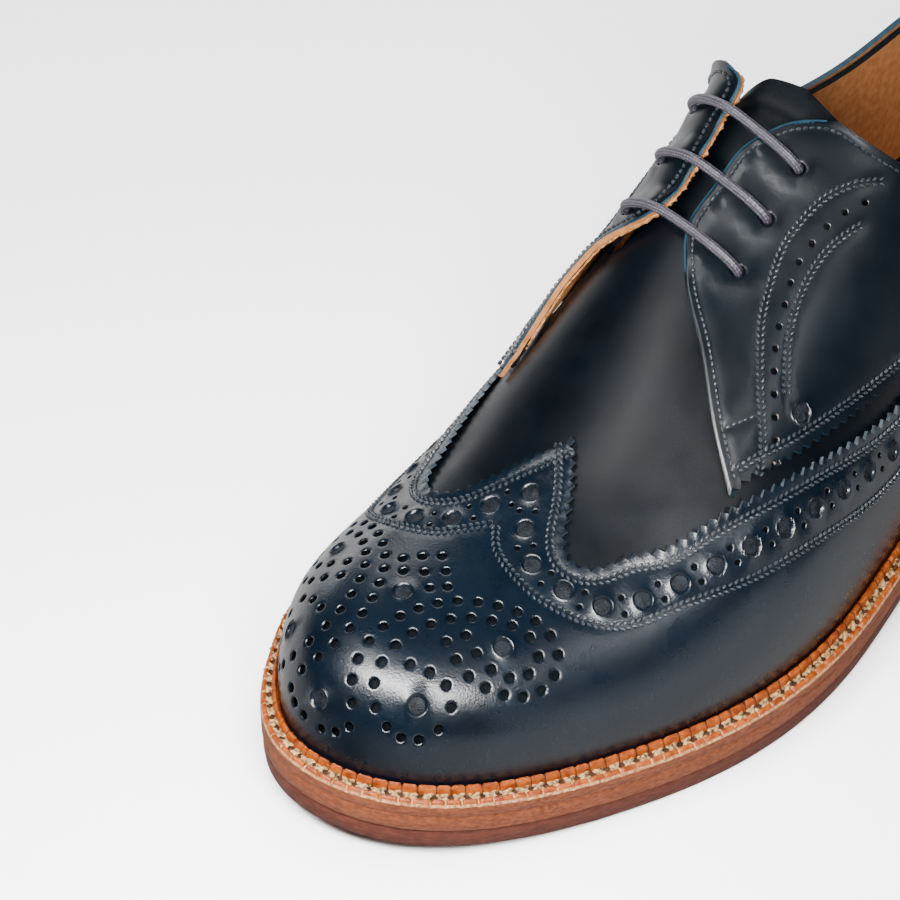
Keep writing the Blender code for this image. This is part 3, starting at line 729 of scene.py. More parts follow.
def new_piece(name, points, faces, materials):
    """A mesh object from points in millimetres; points that no face uses are left out."""
    used = np.unique([corner for face in faces for corner in face])
    number = np.full(len(points), -1)
    number[used] = np.arange(len(used))
    mesh = bpy.data.meshes.new(name)
    mesh.from_pydata((points[used] * MM).tolist(), [], [[int(number[i]) for i in face] for face in faces])
    for material in materials:
        mesh.materials.append(material)
    piece = bpy.data.objects.new(name, mesh)
    bpy.context.collection.objects.link(piece)
    return piece


def thicken(piece, thickness):
    """Give a sheet its thickness inwards, with other materials on its inside and its cut edge."""
    wall = piece.modifiers.new("wall", "SOLIDIFY")
    wall.thickness = thickness * MM
    wall.offset = -1
    wall.material_offset = INSIDE
    wall.material_offset_rim = RIM
    bpy.context.view_layer.objects.active = piece
    bpy.ops.object.modifier_apply(modifier=wall.name)


def finish_piece(piece, slot, *nodes):
    """Smooth shading and the piece's place on the frame."""
    piece.data.shade_smooth()
    piece.data.set_sharp_from_angle(angle=SMOOTH_ANGLE)
    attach(piece, "root")
    if nodes:
        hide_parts(*nodes)
    print(piece.name, sum(len(face.vertices) - 2 for face in piece.data.polygons), "triangles")


# %% Holes of a panel
Hole = namedtuple("Hole", "place radius punched", defaults=(True,))
Ring = namedtuple("Ring", "scale drop")
PUNCH_RINGS = (Ring(1.0, -0.26), Ring(1.15, -0.08), Ring(1.34, -0.01), Ring(1.75, 0.0))
STAMP_RINGS = (Ring(1.42, 0.0), Ring(1.2, 0.19), Ring(1.03, 0.02), Ring(0.9, -0.45), Ring(0.5, -0.42),
               Ring(0.05, -0.4))
Corners = namedtuple("Corners", "below sides")
HOLE_CORNERS = (Corners(1.0, 8), Corners(1.8, 12), Corners(math.inf, 18))


def rings_of(hole):
    """Rings of points round a hole: punched right through, or only stamped into the leather."""
    return PUNCH_RINGS if hole.punched else STAMP_RINGS


def closed_edges(first, count):
    """Edges that join a run of points into a closed loop."""
    return [(first + i, first + (i + 1) % count) for i in range(count)]


def outline_and_holes(outline, holes):
    """Points of a panel's outline and hole rings, how far each sinks, its hole if on a rim, and edges."""
    parts = [outline]
    drops = [np.zeros(len(outline))]
    rims = [np.full(len(outline), -1)]
    edges = closed_edges(0, len(outline))
    count = len(outline)
    for number, hole in enumerate(holes):
        sides = next(row.sides for row in HOLE_CORNERS if hole.radius < row.below)
        if hole.punched:
            edges += closed_edges(count, sides)
        for ring in rings_of(hole):
            parts.append(circle(hole.place, hole.radius * ring.scale, sides))
            drops.append(np.full(sides, ring.drop * hole.radius if hole.punched else ring.drop))
            rims.append(np.full(sides, number if hole.punched and ring.scale == 1 else -1))
            count += sides
    return np.concatenate(parts), np.concatenate(drops), np.concatenate(rims), edges


# %% Points of a panel
SEAM_WIDTH = 1.0
SEAM_POINTS = 0.9
SEAM_CLEAR = 0.4
EDGE_ROOM = 0.55
SEAM_ROOM = 0.5
HOLE_ROOM = 1.2


def lattice(outline, spacing):
    """Evenly packed points over an outline's box."""
    low = outline.min(axis=0)
    high = outline.max(axis=0)
    rows = np.arange(low[1], high[1], spacing * math.sqrt(3) / 2)
    columns = np.arange(low[0], high[0], spacing)
    grid = [np.column_stack([columns + (i % 2) * spacing / 2, np.full(len(columns), row)])
            for i, row in enumerate(rows)]
    return np.concatenate(grid)


def seam_points(seams, guides, fixed):
    """Points along guides, and on and beside seams, that are clear of the outline and the holes."""
    lines = [even(guide, SEAM_POINTS) for guide in guides]
    for seam in seams:
        line = even(seam, SEAM_POINTS)
        lines += [line, beside(line, SEAM_WIDTH), beside(line, -SEAM_WIDTH)]
    points = np.concatenate(lines) if lines else np.zeros((0, 2))
    return points[nearest(points, fixed) > SEAM_CLEAR] if lines else points


def filling(outline, holes, spacing, fixed, added):
    """Evenly packed points that keep clear of the outline, the holes and the seams."""
    grid = lattice(outline, spacing)
    grid = grid[nearest(grid, fixed) > EDGE_ROOM * spacing]
    if holes:
        centres = tree_of([hole.place for hole in holes])
        clear = [HOLE_ROOM * max(rings_of(hole)).scale * hole.radius for hole in holes]
        found = [centres.find((place[0], place[1], 0)) for place in grid]
        grid = grid[[far > clear[number] for _, number, far in found]]
    if len(added):
        grid = grid[nearest(grid, tree_of(added)) > SEAM_ROOM * spacing]
    return grid


# %% Creases and finishes of a panel
BIG = 2.0
STAMP_FLOOR = 0.93
DYED_WIDTH = 0.55
Crease = namedtuple("Crease", "start end depth width")


def crease_lift(chart, creases):
    """Soft troughs, or ridges where the depth is negative, along short lines on the chart."""
    lift = np.zeros(len(chart))
    for crease in creases:
        start = np.array(crease.start)
        way = np.array(crease.end) - start
        part = np.clip((chart - start) @ way / max(way @ way, TINY), 0, 1)
        far = np.linalg.norm(chart - start - part[:, None] * way, axis=1)
        lift -= crease.depth * np.exp(-(far / crease.width) ** 2)
    return lift


def face_finishes(middles, holes, cover, dyed):
    """Which material each outer face takes: painted shade under a cover, dyed at an edge, stamped in a
    hole.
    """
    finish = np.zeros(len(middles), np.int32)
    if cover is not None:
        finish[within(middles, cover)] = PAINTED_SHADE
    if dyed is not None:
        finish[nearest(middles, dyed) < DYED_WIDTH] = RIM
    stamped = [hole.place for hole in holes if not hole.punched]
    if stamped:
        finish[nearest(middles, tree_of(stamped)) < STAMP_FLOOR * BIG] = STAMP
    return finish


def shade_hole_walls(piece, holes, lift, thickness):
    """The wall of a punched hole takes painted shade, dark and dull, unlike the panel's other cut edges."""
    if not holes:
        return
    places = np.array([hole.place for hole in holes])
    finder = tree_of(lay(places, lift(places)) * MM)
    for face in piece.data.polygons:
        if face.material_index == RIM:
            _, number, far = finder.find(face.center)
            if far < (holes[number].radius + thickness) * MM:
                face.material_index = PAINTED_SHADE


# %% Panel cutter
SEAM_DIP = 0.26
DIP_WIDTH = 0.7
DIP_FINE = 0.4
MERGE = 1e-6
FILL_INSIDE = 1


def cut_panel(name, outline, lift, thickness, materials, holes=(), seams=(), guides=(), spacing=2.4,
              creases=(), cover=None, dyed=None):
    """A leather panel: its flat outline filled with triangles, laid on the last and thickened."""
    edge_points, drops, rims, edges = outline_and_holes(outline, holes)
    fixed = tree_of(edge_points)
    added = seam_points(seams, guides, fixed)
    grid = filling(outline, holes, spacing, fixed, added)
    flat = [Vector(place) for place in np.concatenate([edge_points, added, grid])]
    corners, _, faces, sources, _, _ = delaunay_2d_cdt(flat, edges, [], FILL_INSIDE, MERGE)
    chart = np.array([tuple(corner) for corner in corners])
    first = [source[0] if source and source[0] < len(drops) else -1 for source in sources]
    drop = np.array([drops[i] if i >= 0 else 0.0 for i in first])
    rim = [rims[i] if i >= 0 else -1 for i in first]
    chosen = [(a, c, b) for a, b, c in faces if rim[a] < 0 or not rim[a] == rim[b] == rim[c]]
    height = lift(chart) + drop + crease_lift(chart, creases)
    if seams:
        far = nearest(chart, tree_of(np.concatenate([even(seam, DIP_FINE) for seam in seams])))
        height = height - SEAM_DIP * np.exp(-(far / (DIP_WIDTH * SEAM_WIDTH)) ** 2)
    piece = new_piece(name, lay(chart, height), chosen, materials)
    middles = chart[np.array(chosen)].mean(axis=1)
    piece.data.polygons.foreach_set("material_index", face_finishes(middles, holes, cover, dyed))
    thicken(piece, thickness)
    shade_hole_walls(piece, [hole for hole in holes if hole.punched], lift, thickness)
    return piece


# %% [markdown]
# ## Stitches
# Every seam shows rows of short thread grains that sink a little into the leather. A bump could paint them,
# but they catch the light one by one. So one grain is modelled as a squashed ball, and copies of it are
# stamped along each row as a single mesh, which is lighter than thousands of objects. In a double row the
# grains lean towards each other, like a plait.

# %% Stitch stamp
GRAIN_SEGMENTS = 6
GRAIN_RINGS = 4


def grain_of_thread(length, width, height):
    """Corners and faces of a short rounded grain, made as a squashed ball."""
    bpy.ops.mesh.primitive_uv_sphere_add(segments=GRAIN_SEGMENTS, ring_count=GRAIN_RINGS, radius=1)
    ball = bpy.context.object
    bpy.ops.object.mode_set(mode="EDIT")
    bpy.ops.mesh.select_all(action="SELECT")
    bpy.ops.transform.rotate(value=math.pi / 2, orient_axis="Y", center_override=(0, 0, 0))
    bpy.ops.transform.resize(value=(length / 2, width / 2, height / 2), center_override=(0, 0, 0))
    bpy.ops.object.mode_set(mode="OBJECT")
    corners = np.array([corner.co for corner in ball.data.vertices])
    faces = [tuple(face.vertices) for face in ball.data.polygons]
    bpy.data.objects.remove(ball, do_unlink=True)
    return corners, faces


def stamp(name, shape, places, material, slot):
    """One mesh of many copies of a shape, each at its point with its own three directions."""
    corners, faces = shape
    points = np.concatenate([point + corners @ np.stack(axes) for point, *axes in places])
    size = len(corners)
    polygons = [[i * size + corner for corner in face] for i in range(len(places)) for face in faces]
    piece = new_piece(name, points, polygons, [material])
    finish_piece(piece, slot)
    return piece


def stitch_places(line, pitch, lift, lean=0.0):
    """Points and directions of the stitches of a row: each lies along the row, turned by a lean."""
    row = even(line, pitch)
    middle = (row[1:] + row[:-1]) / 2
    tangent, side, normal = frames(middle)
    points = lay(middle, lift(middle))
    turned = math.cos(lean) * tangent + math.sin(lean) * side
    across = np.cross(normal, turned)
    return list(zip(points, turned, across, normal))


STITCH = grain_of_thread(length=1.36, width=0.76, height=1.1)
STITCH_PITCH = 1.5
STITCH_LEAN = 0.5
ROW_GAP = 0.62
stitches = []


def double_row(seam, height):
    """Stitches of two rows beside a seam, which lean opposite ways."""
    rows = []
    for way in (-1, 1):
        rows += stitch_places(beside(seam, way * ROW_GAP), STITCH_PITCH, height, way * STITCH_LEAN)
    return rows


print("stitch", len(STITCH[0]), "corners")

# %% [markdown]
# ## Wing cap
# The wing cap is the outer leather of the toe: a centre peak, two long wings that run round to the heel,
# pinked edges, a band of holes between double rows of stitches, and a medallion of holes on the toe.
# Booleans could cut the holes from a thick shell, but hundreds of them are slow and shade badly. Here the
# outline and the holes are drawn on the flat chart and the triangles are made round them, so each hole has
# a soft rim of its own. The largest holes are only stamped and keep a floor.

# %% Wing cap lines
WING_TOP = 0.75
WING_THICK = 1.0
WING_EDGE = {
    LEFT: (Ridge(82, 0), Ridge(77, 4.5), Ridge(70, 9.8), Ridge(64.3, 14), Ridge(62, 18), Ridge(64.3, 23),
           Feather(71, 46.2), Feather(77, 44.8), Feather(85, 45.6), Feather(103, 46.5), Feather(120, 45),
           Feather(160, 40), Feather(200, 33), Feather(250, 26), Feather(LAST_LENGTH, 25)),
    RIGHT: (Ridge(82, 0), Ridge(74.7, 5.6), Ridge(65.5, 10.6), Ridge(58.5, 15), Ridge(56.8, 19),
            Feather(59, 33.7), Feather(66, 31.4), Feather(80, 30), Feather(120, 34), Feather(160, 35),
            Feather(200, 32), Feather(250, 26), Feather(LAST_LENGTH, 25)),
}
INNER_ROW = {
    LEFT: (Ridge(57.5, 0.3), Ridge(52.9, 5.1), Ridge(50.9, 12), Ridge(50.7, 18.3), Ridge(52.5, 25),
           Ridge(59.6, 35.5), Feather(72, 31.4), Feather(90, 31), Feather(110, 30.5), Feather(160, 26),
           Feather(200, 19.5), Feather(250, 13), Feather(LAST_LENGTH, 12)),
    RIGHT: (Ridge(57.5, 0.3), Ridge(52.3, 4.4), Ridge(48, 8.2), Ridge(45.6, 13), Ridge(44.7, 18.3),
            Ridge(45, 25), Ridge(47.5, 31.9), Feather(54, 20), Feather(66, 17.6), Feather(80, 16.8),
            Feather(120, 20), Feather(160, 21), Feather(200, 18.5), Feather(250, 13),
            Feather(LAST_LENGTH, 12)),
}
BAND = {
    LEFT: (Ridge(67.9, 0.2), Ridge(60.8, 5.7), Ridge(55.8, 12.4), Ridge(56.2, 21.8), Ridge(62, 32.1),
           Feather(69.7, 35.8), Feather(78.5, 36.4), Feather(86.8, 37.2), Feather(104.3, 37.4),
           Feather(120, 36.5), Feather(160, 32), Feather(200, 25.5), Feather(250, 18.8),
           Feather(LAST_LENGTH, 18)),
    RIGHT: (Ridge(67.9, 0.2), Ridge(60.2, 4.9), Ridge(51.6, 9.8), Ridge(48.6, 17.9), Ridge(50.1, 28),
            Feather(56, 25.4), Feather(66, 23.6), Feather(80, 22.8), Feather(120, 26.4), Feather(160, 27.5),
            Feather(200, 24.8), Feather(250, 18.8), Feather(LAST_LENGTH, 18)),
}
print("wing edge", [len(WING_EDGE[side]) for side in SIDES], "pattern points")

# %% Wing cap outline
FINE = 0.6
PINK_PITCH = 2.8
PINK_DEPTH = 1.5
PINK_STEPS = 6
BACK_SEAM = 0.2
DOUBLED = 0.02
FOOT_FINE = 2.0


def pinked(line, outward):
    """An edge with a row of small teeth cut into it; outward is 1 or -1 for the side they point to."""
    fine = even(line, PINK_PITCH / PINK_STEPS)
    phase = np.arange(len(fine)) / PINK_STEPS % 1
    tooth = PINK_DEPTH * (1 - np.abs(2 * phase - 1) * 2)
    return beside(fine, outward * tooth / 2)


def short_of_seam(line):
    """Stop a line just short of the back seam."""
    return np.column_stack([np.minimum(line[:, 0], CHART_END - BACK_SEAM), line[:, 1]])


def feather_edge(side, spacing):
    """Chart line along the feather line from the toe to the back seam."""
    run = np.linspace(0, CHART_END - BACK_SEAM, int(CHART_END / spacing))
    return np.column_stack([run, side * half_girth(run, side)])


def joined(*lines):
    """Lines joined end to end, without doubled points."""
    points = np.concatenate(lines)
    keep = np.linalg.norm(np.diff(points, axis=0, append=points[:1]), axis=1) > DOUBLED
    return points[keep]


wing_line = {side: short_of_seam(pattern(WING_EDGE[side], side, FINE)) for side in SIDES}
inner_line = {side: short_of_seam(pattern(INNER_ROW[side], side, FINE)) for side in SIDES}
wing_outline = joined(pinked(wing_line[LEFT], -1),
                      feather_edge(LEFT, FOOT_FINE)[::-1], feather_edge(RIGHT, FOOT_FINE),
                      pinked(wing_line[RIGHT], 1)[::-1])
print("wing edge", round(running_length(lay(wing_line[LEFT]))[-1]), "mm")

# %% Medallion
# Each place is measured across the toe and along it from the centre hole; both sides are mirrored
MEDIUM = 1.06
MEDALLION_BIG = ((0, 0), (25, 5), (20, -17), (0, -30.5))
MEDALLION_ROWS = (
    ((2.7, -36), (9.3, -29.8), (5.6, -23.9), (2.8, -15), (2.9, -10), (5.2, -2.3), (9.8, 5.3), (16.8, 11),
     (24.8, 14.6), (31, 15), (36, 12), (37.5, 7), (35.5, 1.5), (29.4, -3.3), (24, -5), (15.5, -3.2)),
    ((13.2, -12.3), (18, -10.4), (23.5, -10.2), (27, -13.5), (26.6, -18.5), (22.3, -22.6), (17.5, -24),
     (12.6, -23.4), (8.8, -18.6), (7.9, -13), (9.2, -5.5), (13, 2.3), (19.7, 8.3), (26, 11.2), (31.5, 10),
     (33, 6), (30.5, 1.6), (25.5, -0.4), (17.5, 1)),
    ((0, 13.3), (3.5, 10.5), (6.5, 7.5)),
    ((0, 7.3), (3.8, 4.6)),
)
MEDALLION_PITCH = 4.55
MEDALLION_TURN = math.radians(4)
MEDALLION_GIRTH = -1.3
MEDALLION_RUN = 44.5
MEDALLION_ROOM = 3.1
TOE_RIDGE = running_length(last_surface(PHI, 0.0))
CURVE_STEPS = 400


def medallion_place(across, along):
    """Chart place of a medallion point, measured from its centre hole along the toe's ridge."""
    girth = MEDALLION_GIRTH + math.cos(MEDALLION_TURN) * across - math.sin(MEDALLION_TURN) * along
    length = MEDALLION_RUN + math.sin(MEDALLION_TURN) * across + math.cos(MEDALLION_TURN) * along
    return np.interp(np.interp(length, TOE_RIDGE, PHI), PHI, RUN), girth


def spaced(row, pitch):
    """Points a pitch apart on a smooth flat curve through a row's points."""
    stops = np.array(row, float)
    chord = running_length(stops)
    fine = np.linspace(0, chord[-1], CURVE_STEPS)
    curve = np.stack([natural_spline(chord, stops[:, axis])(fine) for axis in (0, 1)], -1)
    length = running_length(curve)
    places = np.linspace(0, length[-1], int(round(length[-1] / pitch)) + 1)
    return np.stack([np.interp(places, length, curve[:, axis]) for axis in (0, 1)], -1)


medallion = [(mirror * across, along, BIG) for across, along in MEDALLION_BIG for mirror in (1, -1)
             if across or mirror > 0]
for row in MEDALLION_ROWS:
    for across, along in spaced(row, MEDALLION_PITCH):
        for mirror in (1, -1):
            near = min(math.hypot(mirror * across - other[0], along - other[1]) for other in medallion)
            if near > MEDALLION_ROOM:
                medallion.append((mirror * across, along, MEDIUM))
wing_holes = [Hole(medallion_place(across, along), radius, radius < BIG)
              for across, along, radius in medallion]
print("medallion holes", len(wing_holes))

# %% Band of holes
PIN = 0.66
BAND_PITCH = 9.2
PAIR = 1.8
for side in SIDES:
    band = even(short_of_seam(pattern(BAND[side], side, FINE)), BAND_PITCH / 2)
    _, to_left, _ = frames(band)
    for number, place in enumerate(band[:-1]):
        if number % 2:
            pair = moved(np.array([place, place]), to_left[number] * np.array([[PAIR], [-PAIR]]))
            wing_holes += [Hole(tuple(spot), PIN) for spot in pair]
        elif number or side == LEFT:
            wing_holes.append(Hole(tuple(place), BIG, False))
print("wing holes", len(wing_holes))

# %% Wing cap
EDGE_CURL = 0.1
CURL_WIDTH = 1.3
TIP_RISE = 0.16
TIP_WIDTH = 0.8
EDGE_SEAM = 3.0
wing_finder = tree_of(np.concatenate([wing_line[side] for side in SIDES]))
tip_step = slice(PINK_STEPS // 2, None, PINK_STEPS)
tips = tree_of(np.concatenate([pinked(wing_line[side], -side)[tip_step] for side in SIDES]))


def wing_height(chart):
    """The wing lies on the vamp, with its pinked edge curled up a little, most at the teeth's tips."""
    curl = EDGE_CURL * np.exp(-(nearest(chart, wing_finder) / CURL_WIDTH) ** 2)
    return WING_TOP + curl + TIP_RISE * np.exp(-(nearest(chart, tips) / TIP_WIDTH) ** 2)


wing_seams = []
for side in SIDES:
    wing_seams += [beside(wing_line[side], -side * EDGE_SEAM), inner_line[side]]
# The wing's inside and its hole walls take painted shade, and its cut edges the teeth's painted glint.
wing = cut_panel("wing_cap_leather", wing_outline, wing_height, WING_THICK,
                 [TOE_NAVY, SHADE_LEATHER, PINKED_EDGE_GLINT, SHADE_LEATHER, SHADE_LEATHER, STAMPED], wing_holes, wing_seams)
finish_piece(wing, "wing_cap", "wing_cap")
for seam in wing_seams:
    stitches += double_row(seam, wing_height)

# %% [markdown]
# ## Vamp and lining
# Under the wing cap the vamp is pulled over the toe and runs up to the tongue, and the lining wall behind
# it goes round the heel, open at the throat and the collar. They could be two sheets, but each hides most
# of the other. One panel with a wall is enough: it is navy outside, with painted shade, dark and dull,
# where the wing cap covers it and on its cut edges, and lining leather inside.

# %% Upper
UPPER_TOP = -0.95
UPPER_THICK = 1.6
UPPER_FOOT = 2.5
UPPER_SPACING = 3.0
THROAT_FINE = 1.5
COLLAR_FINE = 2.0
COLLAR = {
    LEFT: (Height(161, 109), Height(166, 103), Height(173, 97), Height(183, 91.5), Height(198, 87.5),
           Height(217, 85.5), Height(236, 86), Height(255, 89), Height(275, 95), Height(LAST_LENGTH, 99)),
    RIGHT: (Height(158, 109), Height(161.5, 101.5), Height(167, 94), Height(177, 87), Height(192, 84),
            Height(214, 83.5), Height(236, 86), Height(255, 89), Height(275, 95), Height(LAST_LENGTH, 99)),
}
THROAT = {
    LEFT: (Ridge(128, 0), Ridge(127.6, 6), Ridge(126, 11), Ridge(122.5, 15), Ridge(120, 18.5),
           Ridge(120.5, 22.5), Ridge(124.5, 26)),
    RIGHT: (Ridge(128, 0), Ridge(127.6, 4), Ridge(126, 7.5), Ridge(122.5, 11), Ridge(120, 14.5),
            Ridge(120.5, 18.5), Ridge(124.5, 22)),
}


def collar_line(side, spacing):
    """Chart line of the collar from the facing to the back seam."""
    return short_of_seam(pattern(COLLAR[side], side, spacing))


def upper_edge(side):
    """Top edge of the upper from the throat's middle to the back seam."""
    throat = pattern(THROAT[side], side, THROAT_FINE)
    collar = collar_line(side, COLLAR_FINE)
    beyond = collar[np.abs(collar[:, 1]) > THROAT[side][-1].girth]
    return np.concatenate([throat, beyond])


def upper_height(chart):
    """The upper lies below the wing cap and the quarters all over."""
    return np.full(len(chart), UPPER_TOP)


upper_outline = joined(upper_edge(LEFT), feather_edge(LEFT, UPPER_FOOT)[::-1],
                       feather_edge(RIGHT, UPPER_FOOT), upper_edge(RIGHT)[::-1])
# The upper's cut edges and the faces under the wing cap take painted shade.
upper = cut_panel("upper_leather", upper_outline, upper_height, UPPER_THICK,
                  [NAVY, LINING, SHADE_LEATHER, SHADE_LEATHER, LINING], spacing=UPPER_SPACING, cover=wing_outline)
finish_piece(upper, "upper", "upper")

# %% [markdown]
# ## Quarters
# The two quarters carry the facings, which the lace draws together over the tongue. One could be a mirror
# copy of the other, but they lie differently: the near facing is pressed down, while the far one stands
# off the vamp and shows its raw lining. So both are cut by the same steps from tables of their own, with
# lace holes, double rows of stitches and a pinked lower edge. Soft ridges and troughs show the lace's pull.

# %% Quarter lines
QUARTERS = ((LEFT, "quarter_left"), (RIGHT, "quarter_right"))
QUARTER_TOP = 1.25
QUARTER_THICK = 1.5
QUARTER_RISE = 5.0
FACING = {
    LEFT: (Ridge(96, 40), Ridge(103, 29), Ridge(112, 19), Ridge(118, 11), Ridge(123, 6.8),
           Ridge(128, 4), Ridge(139, 5), Ridge(146, 6), Ridge(151, 9), Ridge(155, 12), Ridge(161, 19)),
    RIGHT: (Ridge(92, 33), Ridge(104, 29), Ridge(114, 25), Ridge(120, 18), Ridge(124, 8.5),
            Ridge(128, 4), Ridge(134, 1.5), Ridge(142, 0.5), Ridge(152, 0), Ridge(156, 0.5), Ridge(158, 4)),
}
WING_SIDE = {
    LEFT: (Feather(64, 46), Feather(77, 44.5), Feather(100, 46.5), Feather(120, 45), Feather(160, 40),
           Feather(200, 33), Feather(250, 26), Feather(LAST_LENGTH, 25)),
    RIGHT: (Feather(59, 33.5), Feather(66, 31.5), Feather(80, 30), Feather(120, 34), Feather(160, 35),
            Feather(200, 32), Feather(250, 26), Feather(LAST_LENGTH, 25)),
}
QUARTER_BACKS = (104, 112, 120, 140, 160, 180, 200, 225, 250, 270, LAST_LENGTH)
Flare = namedtuple("Flare", "back lift")
FLARE = {
    LEFT: (Flare(96, 0), Flare(118, 1.6), Flare(152, 1.6), Flare(188, 0)),
    RIGHT: (Flare(92, 0), Flare(112, 2), Flare(135, 2.8), Flare(150, 4.2), Flare(158, 5.6),
            Flare(172, 2), Flare(190, 0)),
}
FLARE_REACH = 30.0
HOLE_RADIUS = 1.42
HOLE_BACK = (128.0, 139.5, 150.5)
HOLE_GIRTH = {LEFT: (19.5, 19.5, 20.0), RIGHT: (14.0, 12.0, 10.5)}
print("lace holes", len(SIDES) * len(HOLE_BACK))

# %% Quarter shape
COLLAR_ASIDE = 0.6
COLLAR_BEHIND = 0.4
FACING_FINE = 0.5
EDGE_ROLL = 0.45
ROLL_WIDTH = 0.5
DYED_FROM = {LEFT: 121.0, RIGHT: 0.0}


def collar_beyond(side, spacing):
    """The part of the collar line that carries on from the facing's top end."""
    line = collar_line(side, spacing)
    top = FACING[side][-1]
    aside = np.abs(line[:, 1]) > top.girth + COLLAR_ASIDE
    behind = back_of(line[:, 0]) > top.back + COLLAR_BEHIND
    return line[aside & behind]


def quarter_edge(side):
    """Backs and girths of a quarter's top edge: its facing, then its collar."""
    collar = collar_beyond(side, COLLAR_FINE)
    backs = [stop.back for stop in FACING[side]] + list(back_of(collar[:, 0]))
    girths = [stop.girth for stop in FACING[side]] + list(np.abs(collar[:, 1]))
    return backs, girths


QUARTER_EDGE = {side: quarter_edge(side) for side in SIDES}
FACING_FINDER = {side: tree_of(pattern(FACING[side], side, FACING_FINE)) for side in SIDES}


def dyed_edge(side):
    """Finder of the front edge of a facing where the leather is dyed like its cut edge."""
    line = pattern(FACING[side], side, FACING_FINE)
    return tree_of(line[back_of(line[:, 0]) > DYED_FROM[side]])


def quarter_height(side, above=0.0):
    """Height of a quarter's outer face: its facing's front edge stands off the vamp."""
    def height(chart):
        back = back_of(chart[:, 0])
        edge = np.interp(back, *QUARTER_EDGE[side])
        near = np.clip(1 - (np.abs(chart[:, 1]) - edge) / FLARE_REACH, 0, 1) ** 2
        rolled = EDGE_ROLL * np.exp(-(nearest(chart, FACING_FINDER[side]) / ROLL_WIDTH) ** 2)
        return QUARTER_TOP + table(FLARE[side], back) * near - rolled + above
    return height


def quarter_bottom(side):
    """Lower edge of a quarter from its front corner to the back seam."""
    front = FACING[side][0]
    stops = [front] + [Feather(back, table(WING_SIDE[side], back) + QUARTER_RISE) for back in QUARTER_BACKS]
    return short_of_seam(pattern(stops, side, FINE))


print("quarter bottom", round(running_length(lay(quarter_bottom(LEFT)))[-1]), "mm")

# %% Pull of the lace
BULGE_HEIGHT = 0.65
BULGE_ASIDE = 1.9
BULGE_WIDTH = 1.5
BULGE_HALF = 1.5
DENT = {LEFT: 0.15, RIGHT: 0.8}
DENT_FROM = 2
DENT_WIDTH = 2.6
PULL_HEIGHT = 0.7
PULL_AHEAD = 3.4
PULL_WIDTH = 2.2
PULL_FROM = 4
PULL_SHORT = 1


def off_edge(back, side, inward):
    """Chart place at a distance in from a facing's front edge."""
    return chart_place(Ridge(back, table(FACING[side], back) + inward), side)


def pull_creases(side):
    """Bulges beside the holes, dents between the bars, and on the left a ridge before each bar."""
    creases = []
    for back, girth in zip(HOLE_BACK, HOLE_GIRTH[side]):
        run, spot = chart_place(Ridge(back, girth + BULGE_ASIDE), side)
        creases.append(Crease((run - BULGE_HALF, spot), (run + BULGE_HALF, spot + side * BULGE_HALF),
                              -BULGE_HEIGHT, BULGE_WIDTH))
        if side == LEFT:
            ahead = back - PULL_AHEAD
            at_hole = chart_place(Ridge(ahead, girth - PULL_SHORT), side)
            creases.append(Crease(off_edge(ahead, side, PULL_FROM), at_hole, -PULL_HEIGHT, PULL_WIDTH))
    for number in range(len(HOLE_BACK) - 1):
        middle = (HOLE_BACK[number] + HOLE_BACK[number + 1]) / 2
        at_hole = chart_place(Ridge(middle, HOLE_GIRTH[side][number]), side)
        creases.append(Crease(off_edge(middle, side, DENT_FROM), at_hole, DENT[side], DENT_WIDTH))
    return creases


print("creases", [len(pull_creases(side)) for side in SIDES])

# %% Seams and holes of the quarters
EYESTAY = {
    LEFT: (Ridge(103.4, 45.4), Ridge(107, 44.0), Ridge(113, 38.7), Ridge(119.6, 33.3), Ridge(124.5, 29.9),
           Ridge(131, 27.5), Ridge(138, 26), Ridge(144.5, 26.8), Ridge(150, 28.5), Ridge(156, 32),
           Ridge(163, 38)),
    RIGHT: (Ridge(97, 40), Ridge(106, 38), Ridge(113, 34), Ridge(119.6, 29), Ridge(124.5, 25.5),
            Ridge(131, 22), Ridge(138, 20), Ridge(146, 19), Ridge(152, 19.5), Ridge(160, 22)),
}
EYESTAY_HOLES = {
    LEFT: (Ridge(108.5, 48.6), Ridge(111.9, 45.3), Ridge(118.2, 39.6), Ridge(125.2, 34.8), Ridge(130.2, 33),
           Ridge(134.5, 31.6), Ridge(138.7, 31), Ridge(143, 31.6), Ridge(150, 33.6), Ridge(157, 37.5)),
    RIGHT: (Ridge(108, 43), Ridge(113, 38.5), Ridge(120, 33), Ridge(126, 29), Ridge(132, 26),
            Ridge(139, 24.2), Ridge(146, 23.4), Ridge(153, 24.4)),
}
INNER_EYESTAY = {
    LEFT: (Ridge(119, 43.4), Ridge(122.4, 40.6), Ridge(128, 37), Ridge(134.5, 35), Ridge(140, 34.8),
           Ridge(146, 36), Ridge(154, 40)),
    RIGHT: (Ridge(117, 40), Ridge(122.4, 35.5), Ridge(128, 32), Ridge(134.5, 29.4), Ridge(142, 28),
            Ridge(152, 28.6)),
}
BAR = {LEFT: (Ridge(104, 33), Ridge(110.5, 38.5)), RIGHT: (Ridge(101, 33), Ridge(107, 35))}
PIN_PITCH = 5.4
LOWER_HOLE = Ridge(119.6, 48.9)


def quarter_holes(side):
    """Lace holes, the pinholes along the eyestay and, on the left, the stamped hole at its end."""
    holes = [Hole(chart_place(Ridge(back, girth), side), HOLE_RADIUS)
             for back, girth in zip(HOLE_BACK, HOLE_GIRTH[side])]
    pins = even(pattern(EYESTAY_HOLES[side], side, FINE), PIN_PITCH)
    holes += [Hole(tuple(place), PIN) for place in pins]
    if side == LEFT:
        holes.append(Hole(chart_place(LOWER_HOLE, side), BIG, False))
    return holes


print("quarter holes", [len(quarter_holes(side)) for side in SIDES])

